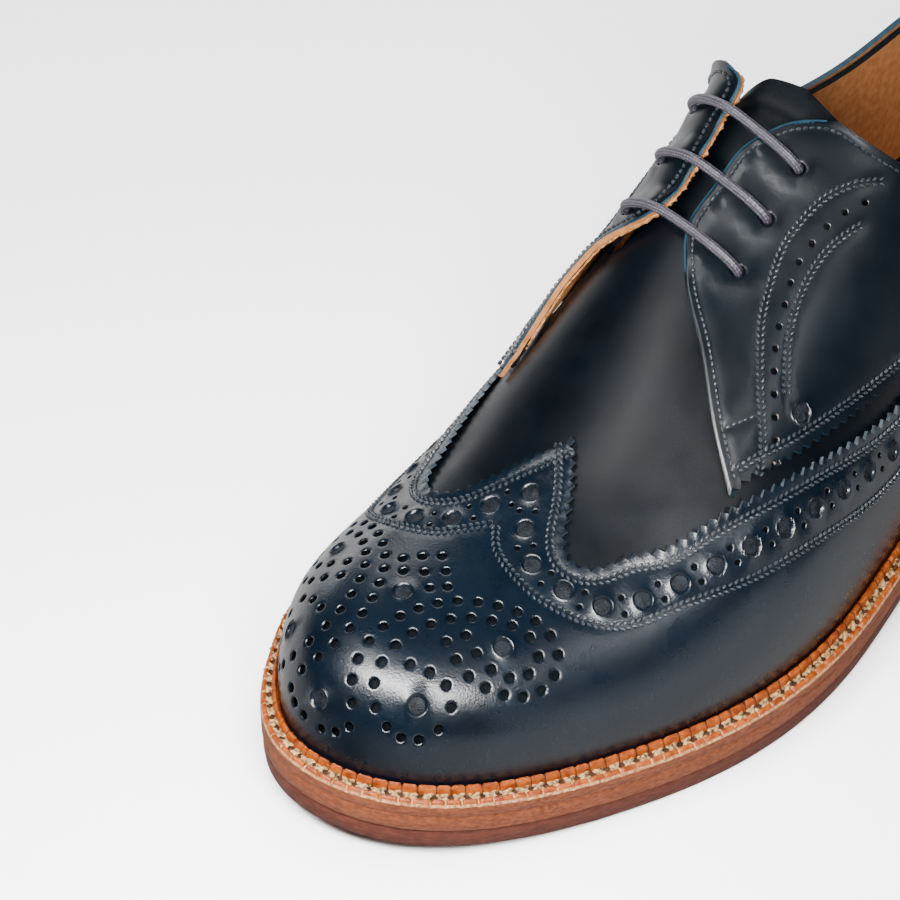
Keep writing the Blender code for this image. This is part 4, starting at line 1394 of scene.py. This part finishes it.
# %% Quarters
FACING_SPACING = 1.0
COLLAR_SPACING = 1.5
BOTTOM_START = 8
TOP_START = 3
TOP_SEAM = 2.0
GUIDE_IN = 0.5
for side, name in QUARTERS:
    facing = pattern(FACING[side], side, FACING_SPACING)
    collar = collar_beyond(side, COLLAR_SPACING)
    bottom = quarter_bottom(side)
    outline = joined(facing, collar, pinked(bottom, side)[::-1])
    if side == RIGHT:
        outline = outline[::-1]
    double = [beside(bottom, side * EDGE_SEAM)[BOTTOM_START:]]
    double += [pattern(rows[side], side, FINE) for rows in (EYESTAY, INNER_EYESTAY)]
    top = np.concatenate([facing[TOP_START:], collar[1:]])
    single = [beside(top, -side * TOP_SEAM), pattern(BAR[side], side, FINE)]
    height = quarter_height(side)
    piece = cut_panel(name + "_leather", outline, height, QUARTER_THICK,
                      [QUARTER_NAVY, LINING, EDGE_TEAL, SHADE_LEATHER, LINING, STAMPED],
                      quarter_holes(side), double + single, guides=[beside(facing, -side * GUIDE_IN)],
                      creases=pull_creases(side), dyed=dyed_edge(side))
    finish_piece(piece, name, name)
    for seam in double:
        stitches += double_row(seam, height)
    for seam in single:
        stitches += stitch_places(seam, STITCH_PITCH, height)

# %% [markdown]
# ## Facing linings
# Behind each facing lies a strip of raw lining leather, whose rough edge shows in orange beside the far
# facing. It could be a second colour on the facing's own edge, but then it couldn't stand proud of it. So
# it is a thin panel of its own, with a seeded ragged front edge, that bends down to the vamp in front.

# %% Facing linings
LINING_WIDTH = 7.0
LINING_THICK = 0.45
LINING_TAPER = 32
LEAST_WIDTH = 0.12
LINING_START = 6
INNER_STEP = 4
LINING_SPACING = 1.6
LINING_PROUD = {LEFT: -0.9, RIGHT: 0.1}
LINING_UNDER = 0.04
RAGGED = 0.18
HIDDEN_EDGE = 2.5
BEND_BACK = 122
BEND_LENGTH = 8
OVER_VAMP = 0.05
VAMP_CONTACT = UPPER_TOP + LINING_THICK + OVER_VAMP
ragged = np.random.default_rng(7)


def facing_lining_height(side):
    """The lining lies under the facing, and bends down to the vamp in front of the throat."""
    def height(chart):
        back = back_of(chart[:, 0])
        under = quarter_height(side, -QUARTER_THICK - LINING_UNDER)(chart)
        inward = np.clip((np.abs(chart[:, 1]) - np.interp(back, *QUARTER_EDGE[side])) / LINING_WIDTH, 0, 1)
        front = np.clip((BEND_BACK - back) / BEND_LENGTH, 0, 1)
        share = front * inward ** 2 * (3 - 2 * inward)
        return under * (1 - share) + np.minimum(under, VAMP_CONTACT) * share
    return height


for side, name in QUARTERS:
    edge = pattern(FACING[side], side, FACING_FINE)[LINING_START:]
    proud = beside(edge, side * (LINING_PROUD[side] + ragged.normal(0, RAGGED, len(edge))))
    width = LINING_WIDTH * np.clip(np.arange(len(edge)) / LINING_TAPER, LEAST_WIDTH, 1)
    inner = beside(edge, -side * width)[::INNER_STEP]
    height = facing_lining_height(side)
    piece = cut_panel(name + "_lining", joined(proud, inner[::-1]), height, LINING_THICK,
                      [LINING, LINING, RAW_EDGE, SHADE_LEATHER], spacing=LINING_SPACING)
    # Faces near the lining's hidden inner edge take painted shade, where it shows in the gap by the vamp.
    hidden = tree_of(lay(inner, height(inner)) * MM)
    for face in piece.data.polygons:
        if hidden.find(face.center)[2] < HIDDEN_EDGE * MM:
            face.material_index = PAINTED_SHADE
    finish_piece(piece, name)

# %% All navy stitches
stamp("navy_stitches", STITCH, stitches, NAVY_THREAD, "upper")

# %% [markdown]
# ## Tongue
# The tongue is a loose flap of leather under the facings, which shows between them and above their top
# ends. It could be a bent plane, but it lies along the last like every other panel. So it is cut on the
# chart from a table of its two edges, sunk below the facings, with one shallow fold near its top.

# %% Tongue
Edges = namedtuple("Edges", "back right left")
TONGUE = (Edges(110, -22, 26), Edges(118, -25, 29), Edges(128, -25, 29), Edges(139, -24.5, 28.5),
          Edges(150, -24, 28), Edges(156, -19, 27), Edges(159, -10, 26), Edges(162, 0, 24.5),
          Edges(164.5, 9, 21))
TONGUE_DEPTH = ((110, -3.3), (118, -4.0))
TONGUE_THICK = 2.0
TONGUE_FOLD = (Ridge(153, -14), Ridge(155.5, -4), Ridge(157.5, 6), Ridge(158.2, 13))
TONGUE_FINE = 1.5
FOLD_FINE = 1.0
TONGUE_SPACING = 2.0


def tongue_height(chart):
    """The tongue lies a little deeper behind the throat than in front of it."""
    return table(TONGUE_DEPTH, back_of(chart[:, 0]))


def tongue_line(places, spacing):
    """A chart line through places given by their distance back and girth from the ridge."""
    return through([(run_of(back), girth) for back, girth in places], spacing)


left_side = tongue_line([(row.back, row.left) for row in TONGUE], TONGUE_FINE)
right_side = tongue_line([(row.back, row.right) for row in TONGUE], TONGUE_FINE)
tongue = cut_panel("tongue_leather", joined(left_side, right_side[::-1]), tongue_height, TONGUE_THICK,
                   [TONGUE_NAVY, LINING, TONGUE_NAVY], seams=[tongue_line(TONGUE_FOLD, FOLD_FINE)],
                   spacing=TONGUE_SPACING)
finish_piece(tongue, "tongue", "tongue")

# %% [markdown]
# ## Soles and insole
# The sole is a stack of leather layers: outsole and midsole share one outline, and the insole board lies
# inside the shoe. An outline could be extruded and bevelled, but the sole isn't flat: it springs up at the
# toe and rises to the heel. Loops beside the feather line follow that rise at any level. So each layer is
# a few loops joined by bands of faces, and small insets of its first and last loops round its edges.

# %% Loops and bands
LAYER_LOOP = 320
TURN_STEPS = 4000
even_turns = np.linspace(0, FULL_TURN, TURN_STEPS + 1)
turn_length = running_length(rim_loop(even_turns, sole_margin(even_turns), 0))
SOLE_LENGTH = turn_length[-1]


def turns_along(count):
    """Turns evenly spaced along the sole's edge."""
    return np.interp(SOLE_LENGTH * np.arange(count) / count, turn_length, even_turns)


def band_faces(loops, count, back_to_first=False):
    """Four-sided faces between neighbouring loops, and from the last to the first one if asked."""
    faces = []
    for k in range(loops if back_to_first else loops - 1):
        here = k * count
        after = (k + 1) % loops * count
        for i in range(count):
            j = (i + 1) % count
            faces.append((here + i, here + j, after + j, after + i))
    return faces


def end_faces(loops, count):
    """The first and the last loop of a stack as two many-sided faces."""
    return [list(range(count))[::-1], list(range((loops - 1) * count, loops * count))]


print("sole edge", round(SOLE_LENGTH), "mm round")

# %% Sole layers
Level = namedtuple("Level", "inset level")
OUTSOLE_EDGE = (Level(1.4, 0), Level(0.8, 0.3), Level(0.45, 1.2), Level(0.3, 3), Level(0.35, 5),
                Level(0.7, OUTSOLE))
MIDSOLE_EDGE = (Level(0.7, -0.1), Level(0.2, 0.4), Level(0, 2.5), Level(0.05, 4.8),
                Level(0.3, MIDSOLE + 0.28))
INSOLE_THICK = 3.4


def layer_piece(name, loops, material):
    """A closed layer from loops that run from its underside to its top."""
    count = len(loops[0])
    faces = band_faces(len(loops), count)
    for start, up in ((0, False), ((len(loops) - 1) * count, True)):
        for i in range(count // 2):
            corners = [start + place % count for place in (i, i + 1, count - i - 1, count - i)]
            corners = list(dict.fromkeys(corners))
            faces.append(corners if up else corners[::-1])
    return new_piece(name, np.concatenate(loops) - SHOE_MIDDLE, faces, [material])


def sole_loops(levels, base):
    """Loops of a layer from its levels over a base height."""
    turns = turns_along(LAYER_LOOP)
    return [rim_loop(turns, sole_margin(turns) - inset, base + level) for inset, level in levels]


outsole = layer_piece("outsole_leather", sole_loops(OUTSOLE_EDGE, 0), RED_BROWN)
finish_piece(outsole, "outsole", "outsole")
midsole = layer_piece("midsole_leather", sole_loops(MIDSOLE_EDGE, OUTSOLE + GAP), COPPER)
finish_piece(midsole, "midsole", "midsole")
turns = turns_along(LAYER_LOOP)
insole_inset = UPPER_TOP - UPPER_THICK - 2 * GAP
insole = layer_piece("insole_board", [rim_loop(turns, insole_inset, OUTSOLE + MIDSOLE + 2 * GAP + level)
                                      for level in (0, INSOLE_THICK)], BOARD)
finish_piece(insole, "insole", "insole")

# %% [markdown]
# ## Heel
# The heel is a block of stacked leather lifts under the back of the outsole, with a curved front. A box
# could be cut to shape, but its top has to follow the sole's edge and slope. So the edge's own loop is
# closed by the curved front and repeated down to the floor, and narrow loops between the lifts are drawn
# in to make the fine grooves.

# %% Heel
HEEL_BREAST = 222.0
HEEL_BREAST_CURVE = 4.0
HEEL_CORNER = 4.0
HEEL_INSET = 0.8
HEEL_STEPS = 60
BREAST_STEPS = 24
LIFTS = 4
GROOVE_LOOPS = 3
GROOVE_SHARE = 0.02
LIFT_GROOVE = 0.25
start = float(sweep(HEEL_BREAST + HEEL_CORNER))
heel_turns = np.linspace(start, FULL_TURN - start, 2 * HEEL_STEPS + 1)
heel_top = rim_loop(heel_turns, sole_margin(heel_turns) - HEEL_INSET, -GAP)
share = np.linspace(0, 1, BREAST_STEPS + 1)
breast_y = HEEL_BREAST + HEEL_BREAST_CURVE * 4 * share * (1 - share)
breast_x = heel_top[-1, 0] + (heel_top[0, 0] - heel_top[-1, 0]) * share
heel_top = np.concatenate([heel_top, np.column_stack([breast_x, breast_y, tread(breast_y) - GAP])])
heel_middle = heel_top[:, :2].mean(axis=0)
levels = [0]
for lift in range(1, LIFTS):
    levels += [lift / LIFTS + GROOVE_SHARE * step for step in range(GROOVE_LOOPS)]
levels.append(1)
heel_rings = []
for number, part in enumerate(levels):
    ring = heel_top.copy()
    ring[:, 2] *= part
    if number % GROOVE_LOOPS == 2:
        ring[:, :2] -= LIFT_GROOVE * unit(ring[:, :2] - heel_middle)
    heel_rings.append(ring)
heel_faces = band_faces(len(levels), len(heel_top)) + end_faces(len(levels), len(heel_top))
heel = new_piece("heel_stack", np.concatenate(heel_rings) - SHOE_MIDDLE, heel_faces, [DARK_BROWN])
finish_piece(heel, "heel", "heel")

# %% [markdown]
# ## Storm welt
# The welt is the leather strip that joins upper and sole. It has a raised bead against the upper, a channel
# that holds the thread, and an outer ridge that a wheel has marked with notches. A curve could sweep its
# profile, but the marks would then have to be carved. Here the profile goes round the shoe as loops of
# points, and each loop says how much of a groove or a notch it takes. Seeded random numbers make every mark
# a little different, as on a worked strip of leather.

# %% Welt profile
WELT_INSIDE = WING_TOP + GAP
WELT_FLOOR = OUTSOLE + MIDSOLE + 2 * GAP
WELT_PITCH = 3.7
WELT_STEPS = 12
Corner = namedtuple("Corner", "share level groove notch")
WELT_PROFILE = (
    Corner(-0.35, WELT_FLOOR, 0, 0), Corner(0.94, WELT_FLOOR, 0, 0), Corner(1.0, WELT_FLOOR + 0.5, 0, 0),
    Corner(1.02, STACK - 2.2, 0, 0), Corner(1.0, STACK - 1.2, 0, 0.3), Corner(0.95, STACK - 0.4, 0, 0.8),
    Corner(0.88, STACK + 0.05, 0, 1), Corner(0.79, STACK + 0.3, 0, 1), Corner(0.70, STACK + 0.15, 0, 0.8),
    Corner(0.63, STACK - 0.4, 0, 0.3), Corner(0.55, STACK - 0.8, 0, 0), Corner(0.41, STACK - 0.85, 0, 0),
    Corner(0.34, STACK - 0.3, 0.2, 0), Corner(0.29, STACK + 0.7, 0.7, 0), Corner(0.22, STACK + 1.5, 1, 0),
    Corner(0.14, STACK + 1.85, 1, 0), Corner(0.05, STACK + 1.6, 0.9, 0), Corner(0.0, STACK + 0.8, 0.4, 0),
    Corner(0.0, STACK - GAP, 0, 0), Corner(-0.35, STACK - GAP, 0, 0),
)
BEAD_GROOVE = 0.75
RIDGE_NOTCH = 0.8
OUTER_WALL = 4
CHANNEL_FLOOR = slice(9, 12)
RIDGE_TOP = slice(5, 8)
BEAD = slice(12, 17)
GROOVE_PLACE = (0.42, 0.66)
NOTCH_PLACE = (0.04, 0.3)
GROOVE_FORCE = (0.4, 1.25)
NOTCH_FORCE = (0.3, 1.2)
MARK_WIDTH = 0.09
EDGE_FINISH = 1
FRAYED_FINISH = 2
WELT_SHADE_FINISH = 3
print("welt profile", len(WELT_PROFILE), "corners")

# %% Welt
welt_count = int(SOLE_LENGTH / WELT_PITCH)
turns = turns_along(welt_count * WELT_STEPS)
phase = np.arange(len(turns)) / WELT_STEPS % 1
marks = np.random.default_rng(5)
groove_at = marks.uniform(*GROOVE_PLACE, welt_count)
notch_at = marks.uniform(*NOTCH_PLACE, welt_count)


def wheel_marks(places, force):
    """How deep the wheel presses each step: one mark in every pitch, some deeper than others."""
    depth = np.exp(-((phase - np.repeat(places, WELT_STEPS)) / MARK_WIDTH) ** 2)
    return depth * np.repeat(marks.uniform(*force, welt_count), WELT_STEPS)


groove = BEAD_GROOVE * wheel_marks(groove_at, GROOVE_FORCE)
notch = RIDGE_NOTCH * wheel_marks(notch_at, NOTCH_FORCE)
welt_width = sole_margin(turns) - WELT_INSIDE
welt_loops = [rim_loop(turns, WELT_INSIDE + corner.share * welt_width,
                       corner.level - corner.groove * groove - corner.notch * notch)
              for corner in WELT_PROFILE]
count = len(turns)
welt = new_piece("welt_leather", np.concatenate(welt_loops) - SHOE_MIDDLE,
                 band_faces(len(welt_loops), count, back_to_first=True), [TAN, COPPER, PALE_EDGE, CHANNEL_SHADE])
strip = np.zeros(len(welt_loops), np.int32)
strip[:OUTER_WALL] = EDGE_FINISH
strip[OUTER_WALL] = FRAYED_FINISH
# The channel's floor and one step of each groove in the bead are darkened as painted shade.
strip[CHANNEL_FLOOR] = WELT_SHADE_FINISH
kind = np.repeat(strip, count).reshape(-1, count)
pitch_start = np.arange(welt_count) * WELT_STEPS
kind[BEAD, pitch_start + (groove_at * WELT_STEPS).astype(int)] = WELT_SHADE_FINISH
kind[RIDGE_TOP, pitch_start + (notch_at * WELT_STEPS).astype(int)] = FRAYED_FINISH
welt.data.polygons.foreach_set("material_index", kind.ravel())
finish_piece(welt, "welt", "welt")

# %% Welt thread
THREAD = grain_of_thread(length=4.0, width=1.3, height=1.1)
THREAD_LEAN = 0.66
THREAD_SHARE = 0.49
THREAD_DEEP = 0.45
THREAD_OVER = 0.25
UNEVEN_LEAN = 0.18
UNEVEN_LENGTH = (0.85, 1.12)
thread_turns = turns_along(welt_count)
margin = sole_margin(thread_turns) - WELT_INSIDE
thread_line = rim_loop(thread_turns, WELT_INSIDE + THREAD_SHARE * margin, STACK - THREAD_DEEP)
thread_points = thread_line - SHOE_MIDDLE
ahead = unit(np.roll(thread_points, -1, axis=0) - np.roll(thread_points, 1, axis=0))
outer = unit(np.cross(ahead, (0, 0, 1)))
rise = np.cross(outer, ahead)
threads = []
uneven = np.random.default_rng(3)
for lean, above in ((THREAD_LEAN, 0.0), (-THREAD_LEAN, THREAD_OVER)):
    angle = (lean + uneven.normal(0, UNEVEN_LEAN, welt_count))[:, None]
    turned = np.cos(angle) * ahead + np.sin(angle) * outer
    across = np.cross(rise, turned)
    longer = uneven.uniform(*UNEVEN_LENGTH, welt_count)[:, None]
    threads += list(zip(thread_points + rise * above, turned * longer, across, rise))
stamp("welt_thread", THREAD, threads, PALE_THREAD, "welt")

# %% [markdown]
# ## Lace
# A round waxed lace makes three straight bars. It dives through the lace holes and runs on under the
# facings, and each of its ends stops inside the last hole that it reaches. A curve with a round bevel
# would give a plain tube, but a waxed lace shows its braid. So a smooth line goes through points over the
# facings and in the holes, and a tube is made round it whose radius follows the braid's weave. Its colour
# follows the weave too, as painted shade in the braid's hollows and paler painted glints on its strands.

# %% Turns of the lace
LACE_RADIUS = 1.35
LACE_STUB = 0.9
TURN_ANGLES = (0.2, 0.9, math.pi / 2)


def facing_point(back, side, girth, above):
    """A point over a facing's outer face."""
    chart = np.array([chart_place(Ridge(back, girth), side)])
    return Vector(lay(chart, quarter_height(side, above)(chart))[0])


def hole_axis(number, side):
    """Centre of a lace hole on the facing's outer face, and the direction out of it."""
    back = HOLE_BACK[number]
    girth = HOLE_GIRTH[side][number]
    centre = facing_point(back, side, girth, 0)
    return centre, (facing_point(back, side, girth, 1) - centre).normalized()


def hole_turn(number, side, toward, radius, level):
    """Quarter turn of the lace out of a hole, to a level over its facing, heading for a point."""
    centre, out = hole_axis(number, side)
    way = toward - centre
    way = (way - out * way.dot(out)).normalized()
    up = math.copysign(radius, level)
    pivot = centre + way * radius + out * (level - up)
    return [pivot - way * radius * math.cos(angle) + out * up * math.sin(angle) for angle in TURN_ANGLES]


def lace_end(number, side):
    """Where the lace stops inside a hole."""
    centre, out = hole_axis(number, side)
    return centre - out * QUARTER_THICK * LACE_STUB


print("top left hole at", tuple(round(value, 1) for value in hole_axis(2, LEFT)[0]))

# %% Route of the lace
LACE_CLEAR = 0.5
LACE_BEND = 2.7
BAR_SHARES = (0.5, 1.0)
RUN_CLEAR = 0.9
RUN_BOW = -2.0
RUN_BEND = 2.2
RUN_SHARES = (0.35, 0.5, 0.65)


def lace_bar(number, start_side):
    """Points of a bar over the facings, from the hole on one side to the opposite hole."""
    over = LACE_RADIUS + LACE_CLEAR
    back = HOLE_BACK[number]
    points = []
    for side in (start_side, -start_side):
        girth = HOLE_GIRTH[side][number] - LACE_BEND
        edge = float(table(FACING[side], back))
        path = hole_turn(number, side, facing_point(back, side, girth, 0), LACE_BEND, over)
        for part in BAR_SHARES:
            path.append(facing_point(back, side, girth + (edge - girth) * part, over))
        points += path if side == start_side else path[::-1]
    return points


def lace_run(side, first, second, sideways):
    """Points of a run under a facing, from one hole to another, bowed sideways by some girth."""
    under = -(QUARTER_THICK + RUN_CLEAR + LACE_RADIUS)
    middle = []
    for part in RUN_SHARES:
        back = HOLE_BACK[first] * (1 - part) + HOLE_BACK[second] * part
        girth = HOLE_GIRTH[side][first] * (1 - part) + HOLE_GIRTH[side][second] * part
        middle.append(facing_point(back, side, girth + sideways * (1 - (2 * part - 1) ** 2), under))
    start_turn = hole_turn(first, side, middle[0], RUN_BEND, under)
    end_turn = hole_turn(second, side, middle[-1], RUN_BEND, under)
    return start_turn + middle + end_turn[::-1]


route = [lace_end(1, RIGHT)]
route += lace_bar(1, RIGHT) + lace_run(LEFT, 1, 0, 0)
route += lace_bar(0, LEFT) + lace_run(RIGHT, 0, 2, RUN_BOW) + lace_bar(2, RIGHT)
route.append(lace_end(2, LEFT))
print("lace route", len(route), "points")

# %% Braid of the lace
LACE_SHOWN = 1.2
LACE_SIDES = 20
LACE_SPACING = 0.3
LACE_ASIDE = (0, 1, 0.3)
BRAID_DEPTH = 0.07
BRAID_STRANDS = 5
BRAID_PITCH = 1.5
stops = np.array(route)
chord = running_length(stops)
places = np.linspace(0, chord[-1], int(chord[-1] / LACE_SPACING))
lace_line = np.stack([natural_spline(chord, stops[:, axis])(places) for axis in range(3)], -1)
heading = unit(np.gradient(lace_line, axis=0))
side_way = unit(np.cross(heading, LACE_ASIDE))
other_way = np.cross(heading, side_way)
turn = FULL_TURN * np.arange(LACE_SIDES) / LACE_SIDES
lace_length = running_length(lace_line)
twist = FULL_TURN * lace_length[:, None] / (BRAID_PITCH * BRAID_STRANDS)
weave = np.cos(BRAID_STRANDS * (turn + twist)) * np.cos(BRAID_STRANDS * (turn - twist))
radius = LACE_SHOWN - BRAID_DEPTH + BRAID_DEPTH * weave
round_way = np.cos(turn)[:, None] * side_way[:, None] + np.sin(turn)[:, None] * other_way[:, None]
lace_points = lace_line[:, None] + radius[..., None] * round_way
lace_faces = band_faces(*radius.shape) + end_faces(*radius.shape)
print("lace", round(lace_length[-1]), "mm")

# %% Lace
WAX_GRAIN = 0.45
WAX_PORE = 0.2
WAX_DEPTH = 0.1
WAX_STRENGTH = 0.5
# Painted light on the braid: its hollows are darkened as shade and its strand tops speckled with pale
# glints.
LACE_HOLLOW_SHADE = (0.009, 0.0075, 0.0125)
LACE_STRAND_GLINT = (0.106, 0.098, 0.118)
LACE, lace_shader = new_shader("waxed_lace", (0.09, 0.085, 0.10), 0.45)
lace_tree = LACE.node_tree
braid_light_node = lace_tree.nodes.new("ShaderNodeAttribute")
braid_light_node.attribute_name = "weave"
lace_coords = object_coords(lace_tree)
glint_speckle = lace_tree.nodes.new("ShaderNodeMath")
glint_speckle.operation = "MULTIPLY"
wire(lace_tree, braid_light_node.outputs["Fac"], glint_speckle.inputs[0])
wire(lace_tree, noise(lace_tree, lace_coords, WAX_GRAIN, detail=2), glint_speckle.inputs[1])
lace_colour = two_tones(lace_tree, glint_speckle.outputs["Value"], LACE_HOLLOW_SHADE, LACE_STRAND_GLINT, start=0.2, end=0.62)
wire(lace_tree, lace_colour, lace_shader.inputs["Base Color"])
wax = bump(lace_tree, noise(lace_tree, lace_coords, WAX_PORE, detail=3), WAX_DEPTH, WAX_STRENGTH)
wire(lace_tree, wax, lace_shader.inputs["Normal"])
lace = new_piece("lace_round", lace_points.reshape(-1, 3), lace_faces, [LACE])
tone = lace.data.attributes.new("weave", "FLOAT", "POINT")
tone.data.foreach_set("value", (weave.ravel() * 0.5 + 0.5).astype(np.float32))
finish_piece(lace, "lace", "lace")
